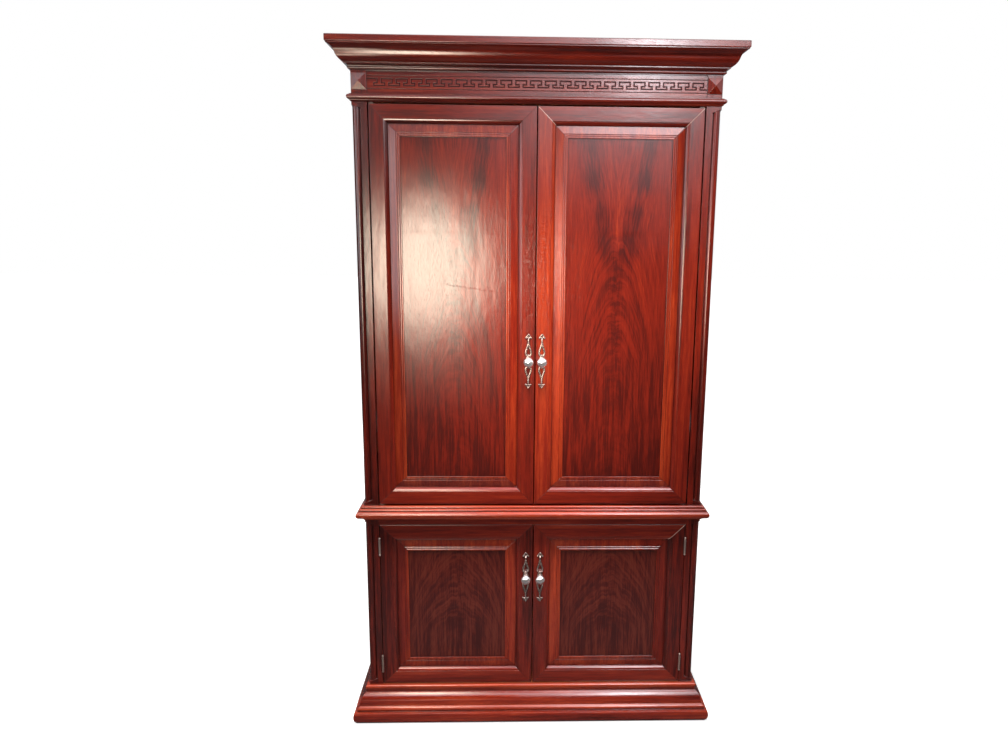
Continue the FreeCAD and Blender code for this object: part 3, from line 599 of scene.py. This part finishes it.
def crotch_veneer(pair, arch, split_level, hearts, foot_shade, contrast=1.0, lift=0.0, smoke=0.0, varnish=None):
    """Veneer matched about its middle.  Its grain runs in nested arches, arch metres round at the crown;
    above split_level, a share of the height, it parts upwards from a light spine.  Hearts are its dark
    places, and the value after them is how much darker its foot is, a painted shade."""
    recipe = Recipe(pair + "_veneer")
    node = pair + "_panel"
    low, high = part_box(node)
    half_width, height = (high.x - low.x) / 2, high.z - low.z
    x, _, z = recipe.split(recipe.place)
    drift = recipe.sum(recipe.noise(recipe.join(0.0, 0.0, recipe.times(z, 3.0)), 1.0, 2.0), -0.5)
    across = recipe.sum(recipe.less(x, (low.x + high.x) / 2), recipe.times(drift, 0.02))
    off = recipe.size(across)
    side = recipe.times(recipe.ramp(across, -0.003, 0.003), 0.02)
    u = recipe.times(off, 1 / half_width)
    v = recipe.times(recipe.less(z, low.z), 1 / height)
    wander = recipe.noise(recipe.join(recipe.times(off, 14.0), side, recipe.times(z, 5.0)), 1.0, 3.0)
    wander = recipe.sum(wander, -0.5)

    ring = recipe.sum(z, recipe.times(off, off, 1 / arch), recipe.times(wander, 0.09))
    arches = recipe.join(ring, side, recipe.times(off, 0.25))
    above = recipe.most(recipe.less(v, split_level), 0.0)
    line = recipe.sum(recipe.less(off, recipe.times(above, 0.9 * half_width)), recipe.times(wander, 0.02))
    parted = recipe.join(recipe.times(line, 4.0), side, recipe.times(z, 0.20))
    share = recipe.times(recipe.ramp(v, split_level - 0.02, split_level + 0.10),
                         recipe.ramp(u, 0.75, 0.45))
    wide, thin = [recipe.mix(share, recipe.noise(arches, *figure), recipe.noise(parted, *figure))
                  for figure in (WIDE_FIGURE, THIN_FIGURE)]
    upright = stretched(recipe, "z", GRAIN_STRETCH)
    fine = recipe.ramp(recipe.noise(upright, 300.0, 3.0, 0.6), 0.34, 0.66)
    fibres = recipe.ramp(recipe.noise(upright, 800.0, 2.0), 0.35, 0.7)
    straight = recipe.ramp(recipe.noise(upright, 110.0, 4.0, 0.6), 0.34, 0.66)
    low_down = recipe.ramp(v, 0.50, 0.25)
    calm = recipe.most(recipe.ramp(u, 0.45, 0.85, 0.0, 0.7), recipe.times(low_down, 0.75))
    wide = recipe.mix(calm, recipe.ramp(wide, 0.36, 0.66), straight)
    thin = recipe.mix(calm, recipe.ramp(thin, 0.36, 0.64), straight)
    tone = recipe.sum(recipe.times(wide, 0.12 * contrast), recipe.times(thin, 0.22 * contrast),
                      recipe.times(fine, 0.16 * contrast), recipe.times(fibres, 0.10),
                      0.42 - 0.28 * contrast + lift)

    blotch = recipe.noise(recipe.join(recipe.times(off, 26.0), side, recipe.times(z, 11.0)), 1.0, 4.0, 0.65)
    moved_u = recipe.sum(u, recipe.times(recipe.sum(blotch, -0.5), 0.22))
    moved_v = recipe.sum(v, recipe.times(wander, 0.05))
    for middle_u, middle_v, reach_u, reach_v, weight in hearts:
        spot = recipe.blob(moved_u, moved_v, (middle_u, middle_v), (reach_u, reach_v), 2.5)
        tone = recipe.less(tone, recipe.times(spot, weight))
    spine = recipe.blob(u, v, (0.0, split_level + 0.08), (0.05, 0.09), 2.0)
    tone = recipe.sum(tone, recipe.times(spine, 0.16 * contrast))
    edge = recipe.most(u, recipe.size(recipe.sum(recipe.times(v, 2.0), -1.0)))
    tone = recipe.less(tone, recipe.ramp(edge, 0.80, 1.0, 0.0, 0.09))
    # Painted shade: darker towards the panel's foot
    tone = recipe.less(tone, recipe.ramp(v, 0.80, 0.20, 0.0, foot_shade))
    tone = recipe.most(tone, DARKEST_TONE)
    return wood_surface(recipe, tone, pore_lines(recipe, upright), lacquer_wave(recipe, "z"),
                        varnish=varnish, smoke=smoke)


# ---- Metal, plastic and inside ----
STAPLE_IN = 0.009
STAPLE_STEP = 0.095
METAL_BEVEL = (6, 0.0004)
INSIDE_BEVEL = (4, 0.0008)


def metal(name, bright, roughness, patch_scale, darkening, brushed=0.0, bare=1.0):
    """Metal that darkens in its hollows and in patches."""
    recipe = Recipe(name)
    patches = recipe.noise(recipe.place, patch_scale, 4.0, 0.6)
    hollow = recipe.add("ShaderNodeAmbientOcclusion", {"samples": 6}, Distance=0.003)
    sunk = recipe.times(recipe.ramp(hollow.outputs["AO"], 0.35, 0.9, 1.0, 0.0), darkening)
    share = recipe.most(sunk, recipe.ramp(patches, 0.5, 0.8, 0.0, darkening))
    colour = recipe.mix(share, bright, scene().armoire_metal.tarnish)
    shine = recipe.sum(roughness, recipe.times(share, 0.2))
    height = recipe.noise(recipe.place, patch_scale * 6, 2.0)
    return recipe.surface(colour, shine, (0.15 + brushed, 0.0001), height, METAL_BEVEL, bare)


def moulded_plastic(name, colour):
    recipe = Recipe(name)
    grain = recipe.noise(recipe.place, 900.0, 2.0)
    shade = recipe.mix(recipe.ramp(grain, 0.3, 0.7, 0.0, 0.3), colour, scaled(colour, 1.8))
    return recipe.surface(shade, 0.5, (0.3, 0.0001), grain)


def scaled(colour, share):
    return [part * share for part in colour]


def staple_row(recipe, near, along):
    """1 on staples that stand in a row along one edge; near is the distance from the edge."""
    across = recipe.ramp(recipe.size(recipe.sum(near, -STAPLE_IN)), 0.0005, 0.0009, 1.0, 0.0)
    step = recipe.size(recipe.sum(recipe.math("FRACT", recipe.times(along, 1 / STAPLE_STEP)), -0.5))
    return recipe.times(across, recipe.ramp(step, 0.055, 0.060, 1.0, 0.0))


def back_board(name, node, colour, steel):
    """Smooth hardboard, stapled round its edges."""
    recipe = Recipe(name)
    low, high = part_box(node)
    x, _, z = recipe.split(recipe.place)
    upright_rows = staple_row(recipe, from_edges(recipe, x, low.x, high.x), z)
    staples = recipe.most(upright_rows, staple_row(recipe, from_edges(recipe, z, low.z, high.z), x))
    flecks = recipe.noise(recipe.place, 420.0, 4.0, 0.7)
    cloud = recipe.noise(recipe.place, 5.0, 3.0)
    strands = recipe.noise(stretched(recipe, "z", GRAIN_STRETCH), 90.0, 4.0, 0.65)
    shade = recipe.mix(recipe.ramp(flecks, 0.35, 0.7, 0.0, 0.5), colour, scaled(colour, 0.55))
    shade = recipe.mix(recipe.ramp(strands, 0.35, 0.65, 0.0, 0.5), shade, scaled(colour, 0.70))
    shade = recipe.mix(recipe.ramp(cloud, 0.3, 0.7, 0.0, 0.3), shade, scaled(colour, 1.3))
    shade = recipe.mix(staples, shade, steel)
    shine = recipe.ramp(staples, 0.0, 1.0, 0.75, 0.35)
    return recipe.surface(shade, shine, (0.3, 0.0003), recipe.sum(flecks, staples), bare=staples)


def inside_wood(name, colour, run):
    recipe = Recipe(name)
    space = stretched(recipe, run, GRAIN_STRETCH)
    bands, streaks, fibres = straight_grain(recipe, space)
    tone = recipe.sum(recipe.times(bands, 0.5), recipe.times(streaks, 0.3), recipe.times(fibres, 0.2))
    shade = recipe.mix(tone, scaled(colour, 0.55), scaled(colour, 1.35))
    pores = pore_lines(recipe, space)
    shade = recipe.mix(recipe.times(pores, 0.5), shade, scaled(colour, 0.4))
    return recipe.surface(shade, 0.45, (0.25, 0.0004), recipe.times(pores, -1.0), INSIDE_BEVEL)


# ---- Operators ----
# How much lighter the stiles, rails and bands are, and the x beyond which the opened top mitres get a painted
# highlight
DOOR_TONES = {"upper": (0.02, -0.04, 0.14, 0.0), "lower": (-0.11, 0.03, 0.18, 0.30)}


class ARMOIRE_OT_case(bpy.types.Operator):
    """Varnish the posts, sides, rails and top of both cases"""
    bl_idname = "armoire.case"
    bl_label = "Finish the cases"
    bl_options = {"REGISTER", "UNDO"}

    def execute(self, context):
        dress(["lower_sides", "upper_sides", "frieze_sides", "rosette_blocks"],
              plain_wood("case_upright_mahogany", "z"))
        dress(["lower_posts", "upper_posts"], plain_wood("post_mahogany", "z", -0.14))
        dress(["lower_face_rail", "cornice_cap", "upper_deck"], plain_wood("case_level_mahogany", "x"))
        frieze = plain_wood("frieze_mahogany", "x", 0.04, stain_and_painted_light=key_stain, varnish=key_varnish)
        dress(["frieze_board"], frieze)
        return {"FINISHED"}


class ARMOIRE_OT_case_mouldings(bpy.types.Operator):
    """Varnish the base, waist, neck and cornice mouldings"""
    bl_idname = "armoire.case_mouldings"
    bl_label = "Finish the case mouldings"
    bl_options = {"REGISTER", "UNDO"}

    def execute(self, context):
        dress(["base_moulding", "waist_moulding"],
              plain_wood("low_moulding_mahogany", "x", 0.24, BAND_GLOSS, stain_and_painted_light=foot_tone))
        dress(["neck_moulding", "cornice_moulding"],
              plain_wood("crown_moulding_mahogany", "x", -0.05, BAND_GLOSS))
        return {"FINISHED"}


class ARMOIRE_OT_doors(bpy.types.Operator):
    """Varnish the stiles, rails and panel mouldings of the four doors"""
    bl_idname = "armoire.doors"
    bl_label = "Finish the door frames"
    bl_options = {"REGISTER", "UNDO"}

    def execute(self, context):
        for level, (stile_lift, rail_lift, band_lift, joint_highlight_from) in DOOR_TONES.items():
            box = door_box(level)
            upright = plain_wood(level + "_stile_mahogany", "z", stile_lift, mitre_box=box,
                                 stain_and_painted_light=stile_tones, joint_highlight_from=joint_highlight_from)
            level_wood = plain_wood(level + "_rail_mahogany", "x", rail_lift, mitre_box=box,
                                    joint_highlight_from=joint_highlight_from)
            band = plain_wood(level + "_band_mahogany", "z", band_lift, BAND_GLOSS, mitre_box=box,
                              stain_and_painted_light=band_tones)
            for part, material in (("stiles", upright), ("rails", level_wood), ("moulding", band)):
                dress([f"{level}_{side}_{part}" for side in SIDES], material)
        return {"FINISHED"}


class ARMOIRE_OT_panels(bpy.types.Operator):
    """Lay the matched crotch veneer on the four door panels"""
    bl_idname = "armoire.panels"
    bl_label = "Lay the panel veneers"
    bl_options = {"REGISTER", "UNDO"}

    def execute(self, context):
        for pair in PAIRS:
            scratch = varnish_scratch if pair == "upper_left" else None
            dress([pair + "_panel"], crotch_veneer(pair, varnish=scratch, **VENEERS[pair.split("_")[0]]))
        return {"FINISHED"}


class ARMOIRE_OT_handles(bpy.types.Operator):
    """Cast the pierced plates with rounded bars and polish the turned knobs"""
    bl_idname = "armoire.handles"
    bl_label = "Finish the handles"
    bl_options = {"REGISTER", "UNDO"}

    def execute(self, context):
        metals = scene().armoire_metal
        pewter = metal("cast_pewter", metals.pewter, 0.24, 260.0, 0.85, bare=0.85)
        nickel = metal("bright_nickel", metals.nickel, 0.13, 90.0, 0.25, bare=0.85)
        for pair in PAIRS:
            cast_plate(pair + "_cast_plate", pair + "_handle_plate", pair + "_door", pewter)
            dress([pair + "_knob"], nickel)
        return {"FINISHED"}


class ARMOIRE_OT_hardware(bpy.types.Operator):
    """Finish the hinges, catches, slides, pivots, pins and screws"""
    bl_idname = "armoire.hardware"
    bl_label = "Finish the hardware"
    bl_options = {"REGISTER", "UNDO"}

    def execute(self, context):
        metals = scene().armoire_metal
        hinges = metal("hinge_pewter", metals.pewter, 0.30, 300.0, 0.6, bare=0.8)
        zinc = metal("zinc_plate", metals.zinc, 0.36, 180.0, 0.35, brushed=0.1)
        bronze = metal("pivot_bronze", metals.tarnish, 0.45, 180.0, 0.3)
        dress(["lower_hinge_post_leaves", "lower_left_fittings", "lower_right_fittings"], hinges)
        dress(["case_screws", "shelf_pins", "door_slide_rails"], zinc)
        for side in SIDES:
            dress([side + "_carrier_runners"], zinc)
            dress([side + "_pivot_plates", f"upper_{side}_pivot_bushes"], bronze)
        dress(["magnet_catches"], moulded_plastic("catch_plastic", metals.plastic))
        return {"FINISHED"}


class ARMOIRE_OT_inside(bpy.types.Operator):
    """Finish the boards inside, under and behind the cases"""
    bl_idname = "armoire.inside"
    bl_label = "Finish the inside"
    bl_options = {"REGISTER", "UNDO"}

    def execute(self, context):
        wood = scene().armoire_wood
        dress(["plinth_frame", "lower_bottom", "lower_top", "shelf", "upper_top"],
              inside_wood("inside_level_wood", wood.inside, "x"))
        dress(["left_carrier_strip", "right_carrier_strip"],
              inside_wood("inside_upright_wood", wood.inside, "z"))
        steel = scene().armoire_metal.zinc
        for level in LEVELS:
            node = level + "_back"
            dress([node], back_board(level + "_hardboard", node, wood.hardboard, steel))
        return {"FINISHED"}


class ARMOIRE_OT_stage(bpy.types.Operator):
    """Set the floor, the lamps and the camera"""
    bl_idname = "armoire.stage"
    bl_label = "Set the studio"
    bl_options = {"REGISTER", "UNDO"}

    def execute(self, context):
        make_camera()
        make_floor()
        make_world()
        make_lamps()
        make_sheets()
        return {"FINISHED"}


# ---- Studio ----
CAMERA_YAW = math.radians(1.647)
CAMERA_PITCH = math.radians(10.479)
CAMERA_ROLL = math.radians(0.54)
CAMERA_FAR = 60.0
SENSOR_WIDTH = 36.0
SHIFT_X = -0.0258
SHIFT_Y = -0.0060
FLOOR_REACH = 25.0
FLOOR_LIFT = (1.2, 4.5, 0.72, 1.0)
AMBIENT = 0.31
# Name, kind, place, aim, setting that holds the power, colour, other values
LAMPS = (
    ("pool", "SPOT", (1.00, -2.75, 1.75), (0.24, -0.26, 1.43), "pool_power", (1.0, 0.95, 0.86),
     {"spot_size": math.radians(31.0), "spot_blend": 1.0, "shadow_soft_size": 0.25}),
    ("overhead", "AREA", (0.2, -1.2, 2.75), (0.05, -0.5, 0.3), "overhead_power", (1.0, 0.97, 0.93),
     {"shape": "RECTANGLE", "size": 1.6, "size_y": 0.8}),
    ("rear_light", "AREA", (-0.9, 3.2, 2.3), (0.0, 0.3, 1.0), "rear_power", (1.0, 0.98, 0.95),
     {"size": 2.0}),
    ("down_light", "SPOT", (-0.06, -0.72, 2.70), (-0.04, -0.56, 0.35), "down_power", (1.0, 0.93, 0.84),
     {"spot_size": math.radians(44.0), "spot_blend": 0.8, "shadow_soft_size": 0.12}),
)


def make_camera():
    studio = scene().armoire_studio
    data = bpy.data.cameras.new("studio_camera")
    data.lens = studio.lens
    data.sensor_width = SENSOR_WIDTH
    data.shift_x = SHIFT_X
    data.shift_y = SHIFT_Y
    data.clip_end = CAMERA_FAR
    camera = new_object("studio_camera", data)
    ahead = Vector((math.sin(CAMERA_YAW) * math.cos(CAMERA_PITCH),
                    math.cos(CAMERA_YAW) * math.cos(CAMERA_PITCH), -math.sin(CAMERA_PITCH)))
    right = Vector((math.cos(CAMERA_YAW), -math.sin(CAMERA_YAW), 0.0))
    up = right.cross(ahead)
    rolled_right = right * math.cos(CAMERA_ROLL) + up * math.sin(CAMERA_ROLL)
    rolled_up = up * math.cos(CAMERA_ROLL) - right * math.sin(CAMERA_ROLL)
    turn = Matrix((rolled_right, rolled_up, -ahead)).transposed().to_4x4()
    spot = Vector((-studio.camera_x, -studio.camera_y, studio.camera_z))
    camera.matrix_world = Matrix.Translation(spot) @ turn
    scene().camera = camera


def flat_sheet(name, start, end):
    """A sheet between two opposite corners: level if their heights agree, else upright."""
    (x0, y0, z0), (x1, y1, z1) = start, end
    second, last = ((x1, y0, z0), (x0, y1, z0)) if z0 == z1 else ((x1, y1, z0), (x0, y0, z1))
    mesh = bpy.data.meshes.new(name)
    mesh.from_pydata([start, second, end, last], [], [(0, 1, 2, 3)])
    sheet = new_object(name, mesh)
    return sheet


def seen_directly(tree):
    """1 for rays from the camera, from glossy surfaces and through glass."""
    path = tree.nodes.new("ShaderNodeLightPath")
    total = path.outputs["Is Camera Ray"]
    for name in ("Is Glossy Ray", "Is Transmission Ray"):
        join = tree.nodes.new("ShaderNodeMath")
        join.operation = "MAXIMUM"
        tree.links.new(total, join.inputs[0])
        tree.links.new(path.outputs[name], join.inputs[1])
        total = join.outputs[0]
    return total


def make_floor():
    """White where nothing stands, with the shadow kept: only its near part is darkened by the lamps."""
    floor = flat_sheet("studio_floor", (-FLOOR_REACH, -FLOOR_REACH, 0), (FLOOR_REACH, FLOOR_REACH, 0))
    recipe = Recipe("studio_floor")
    away = recipe.add("ShaderNodeVectorMath", {"operation": "LENGTH"})
    recipe.put(away.inputs[0], recipe.place)
    lift = recipe.ramp(away.outputs["Value"], *FLOOR_LIFT)
    glow = recipe.add("ShaderNodeEmission", Strength=recipe.times(lift, seen_directly(recipe.tree)))
    paint = recipe.add("ShaderNodeBsdfDiffuse", Color=scene().armoire_studio.floor_colour)
    floor.data.materials.append(recipe.finish(recipe.both(paint, glow)))


def make_world():
    """White where it is seen or mirrored, and AMBIENT as a light."""
    world = bpy.data.worlds.new("studio_world")
    scene().world = world
    world.use_nodes = True
    tree = world.node_tree
    tree.nodes.clear()
    strength = tree.nodes.new("ShaderNodeMapRange")
    tree.links.new(seen_directly(tree), strength.inputs["Value"])
    strength.inputs["To Min"].default_value = AMBIENT
    strength.inputs["To Max"].default_value = 1.0
    light = tree.nodes.new("ShaderNodeBackground")
    light.inputs["Color"].default_value = (1.0, 1.0, 1.0, 1.0)
    tree.links.new(strength.outputs[0], light.inputs["Strength"])
    output = tree.nodes.new("ShaderNodeOutputWorld")
    tree.links.new(light.outputs[0], output.inputs["Surface"])


def make_lamps():
    """Lamps that no mirror sees: reflections show the sheets round the room instead."""
    for name, kind, spot, target, power, colour, others in LAMPS:
        data = bpy.data.lights.new(name, kind)
        data.energy = getattr(scene().armoire_studio, power)
        data.color = colour
        for key, value in others.items():
            setattr(data, key, value)
        lamp = new_object(name, data)
        lamp.location = spot
        lamp.rotation_mode = "QUATERNION"
        lamp.rotation_quaternion = (Vector(target) - Vector(spot)).to_track_quat("-Z", "Y")
        lamp.visible_glossy = False


SHEET_WIDE = 4.5
SHEET_AHEAD = -4.76
SHEET_BEHIND = 6.0
SHEET_HIGH = 6.0
CEILING_AHEAD = -2.4
CEILING_LEVEL = 2.75
CLOTH_LEVEL = 0.001
LOW_GLOW_EDGES = ((-1.6, -4.0), (1.6, -0.6))
DARK_CARD_EDGES = ((-0.9, -1.2, 0.2), (-0.05, -1.2, 0.76))
ROOM_GREY = 0.03
BACK_GREY = 0.30
CARD_GREY = 0.02
WARM = (1.0, 0.86, 0.67)
COOL = (0.93, 0.95, 1.0)
# Patches of light on the sheets: middle, reach, sharpness of the edge, strength
WINDOW = ((-0.85, 1.30), (0.55, 0.58), 3.2, 26.0)
WINDOW_FOOT = ((-0.80, 0.45), (0.70, 0.30), 2.0, 1.4)
HIGH_LAMP = ((1.12, 3.26), (0.30, 0.46), 2.5, 18.0)
HALO = ((1.45, 3.30), (0.70, 0.32), 3.0, 3.5)
STRIP = ((0.63, 4.60), (0.36, 1.20), 4.0, 21.0)
STRIP_LEAN = 0.15
SIDE_SCREEN = ((-2.6, 2.2), (0.8, 1.3), 4.0, 7.0)
OVER_RIGHT = ((0.72, -1.62), (0.58, 0.60), 5.0, 9.5)
OVER_LOWER = ((0.10, -0.95), (0.90, 0.35), 4.0, 4.0)
LOW_BAND = ((-0.52, -1.42), (0.24, 0.30), 3.0, 26.0)
LOW_BLOCK = ((-0.68, -0.85), (0.12, 0.16), 3.0, 9.0)
LOW_LEFT = ((-0.58, -2.55), (0.36, 0.90), 4.0, 7.0)
LOW_RIGHT = ((0.64, -2.55), (0.40, 0.90), 4.0, 3.0)


def front_wall(recipe):
    """A window in front on the left, a lamp high on the right, and a pale wall above and further left."""
    x, _, z = recipe.split(recipe.place)
    warm = recipe.sum(recipe.light(x, z, WINDOW), recipe.light(x, z, WINDOW_FOOT))
    strip = recipe.light(recipe.less(x, recipe.times(z, STRIP_LEAN)), z, STRIP)
    lamps = recipe.sum(recipe.light(x, z, HIGH_LAMP), recipe.light(x, z, HALO), strip)
    top = recipe.times(recipe.ramp(z, 1.6, 3.4), recipe.ramp(x, -0.9, 0.9, 0.3, 6.0),
                       recipe.ramp(x, 2.3, 1.4))
    high = recipe.times(recipe.ramp(z, 3.3, 4.2), recipe.ramp(x, -1.2, 1.0, 2.8, 6.5))
    left = recipe.times(recipe.ramp(x, -1.0, -3.0, 0.0, 4.0), recipe.ramp(z, 0.5, 1.2),
                        recipe.ramp(z, 2.9, 2.5))
    return warm, recipe.sum(recipe.most(top, high), left, lamps, ROOM_GREY)


def left_wall(recipe):
    _, y, z = recipe.split(recipe.place)
    return 0.0, recipe.sum(recipe.light(y, z, SIDE_SCREEN), ROOM_GREY)


def right_wall(recipe):
    z = recipe.split(recipe.place)[2]
    return 0.0, recipe.sum(recipe.times(recipe.ramp(z, 1.9, 3.3), 2.0), ROOM_GREY)


def back_wall(recipe):
    return 0.0, BACK_GREY


def ceiling(recipe):
    """Two lit patches, one that the upper right door's top moulding sees and one over the lower case."""
    x, y, _ = recipe.split(recipe.place)
    patches = recipe.sum(recipe.light(x, y, OVER_RIGHT), recipe.light(x, y, OVER_LOWER))
    return 0.0, recipe.sum(patches, recipe.ramp(y, -0.4, 0.3, 1.2, BACK_GREY))


def dark_floor(recipe):
    """Dark cloth, paler further out at the sides and behind."""
    x, y, _ = recipe.split(recipe.place)
    front = recipe.times(recipe.ramp(y, -1.9, -1.0, 0.02, 0.14), recipe.ramp(y, -0.75, -0.50, 1.0, 0.4))
    beside = recipe.times(recipe.ramp(recipe.size(x), 0.7, 3.0, 0.0, BACK_GREY),
                          recipe.ramp(y, -0.9, -0.4))
    return 0.0, recipe.sum(front, recipe.most(beside, recipe.ramp(y, 0.4, 2.5, 0.0, BACK_GREY)))


def dark_card(recipe):
    return 0.0, CARD_GREY


def low_glow(recipe):
    """Clear but for its lights.  It is level with the camera, so the surfaces that see it lean down
    above that height and up below it."""
    x, y, _ = recipe.split(recipe.place)
    lights = (LOW_BAND, LOW_BLOCK, LOW_LEFT, LOW_RIGHT)
    band, block, left, right = [recipe.light(x, y, patch) for patch in lights]
    return recipe.sum(band, block), recipe.sum(left, right)


def make_sheets():
    """Walls of light and dark cloth round the room, which only reflections see."""
    wide, ahead, behind, high = SHEET_WIDE, SHEET_AHEAD, SHEET_BEHIND, SHEET_HIGH
    eye = scene().armoire_studio.camera_z
    sheets = (
        (front_wall, (-wide, ahead, 0), (wide, ahead, high)),
        (left_wall, (-wide, ahead, 0), (-wide, behind, high)),
        (right_wall, (wide, ahead, 0), (wide, behind, high)),
        (back_wall, (-wide, behind, 0), (wide, behind, high)),
        (ceiling, (-wide, CEILING_AHEAD, CEILING_LEVEL), (wide, behind, CEILING_LEVEL)),
        (low_glow, (*LOW_GLOW_EDGES[0], eye), (*LOW_GLOW_EDGES[1], eye)),
        (dark_card, *DARK_CARD_EDGES),
        (dark_floor, (-wide, ahead, CLOTH_LEVEL), (wide, behind, CLOTH_LEVEL)),
    )
    for glow, start, end in sheets:
        name = "studio_" + glow.__name__
        recipe = Recipe(name)
        warm, cool = glow(recipe)
        light = recipe.both(recipe.add("ShaderNodeEmission", Color=WARM, Strength=warm),
                            recipe.add("ShaderNodeEmission", Color=COOL, Strength=cool))
        if glow is low_glow:
            light = recipe.both(light, recipe.add("ShaderNodeBsdfTransparent"))
        material = recipe.finish(light)
        material.cycles.emission_sampling = "NONE"
        sheet = flat_sheet(name, start, end)
        sheet.data.materials.append(material)
        sheet.visible_camera = False
        sheet.visible_diffuse = False
        sheet.visible_shadow = False
        sheet.visible_transmission = False


# ---- Panel ----
class ARMOIRE_PT_finish(bpy.types.Panel):
    """Lists the armoire's finishes and their operators."""
    bl_idname = "ARMOIRE_PT_finish"
    bl_label = "Television Armoire"
    bl_space_type = "VIEW_3D"
    bl_region_type = "UI"
    bl_category = "Armoire"

    def draw(self, context):
        for group in (getattr(context.scene, name) for name in GROUPS):
            box = self.layout.box()
            for key in group.bl_rna.properties.keys():
                if key not in ("rna_type", "name"):
                    box.prop(group, key)
        for operator in OPERATORS:
            self.layout.operator(operator.bl_idname)


OPERATORS = (ARMOIRE_OT_stage, ARMOIRE_OT_case, ARMOIRE_OT_case_mouldings, ARMOIRE_OT_doors,
             ARMOIRE_OT_panels, ARMOIRE_OT_handles, ARMOIRE_OT_hardware, ARMOIRE_OT_inside)
GROUPS = {"armoire_wood": ArmoireWoodSettings, "armoire_metal": ArmoireMetalSettings,
          "armoire_studio": ArmoireStudioSettings}


def register():
    for name, group in GROUPS.items():
        bpy.utils.register_class(group)
        setattr(bpy.types.Scene, name, PointerProperty(type=group))
    for operator in OPERATORS:
        bpy.utils.register_class(operator)
    bpy.utils.register_class(ARMOIRE_PT_finish)


def unregister():
    bpy.utils.unregister_class(ARMOIRE_PT_finish)
    for operator in reversed(OPERATORS):
        bpy.utils.unregister_class(operator)
    for name, group in GROUPS.items():
        delattr(bpy.types.Scene, name)
        bpy.utils.unregister_class(group)


def main():
    register()
    bpy.context.scene.view_settings.view_transform = "Standard"
    bpy.ops.armoire.stage()
    bpy.ops.armoire.case()
    bpy.ops.armoire.case_mouldings()
    bpy.ops.armoire.doors()
    bpy.ops.armoire.panels()
    bpy.ops.armoire.handles()
    bpy.ops.armoire.hardware()
    bpy.ops.armoire.inside()


if __name__ == "__main__":
    main()
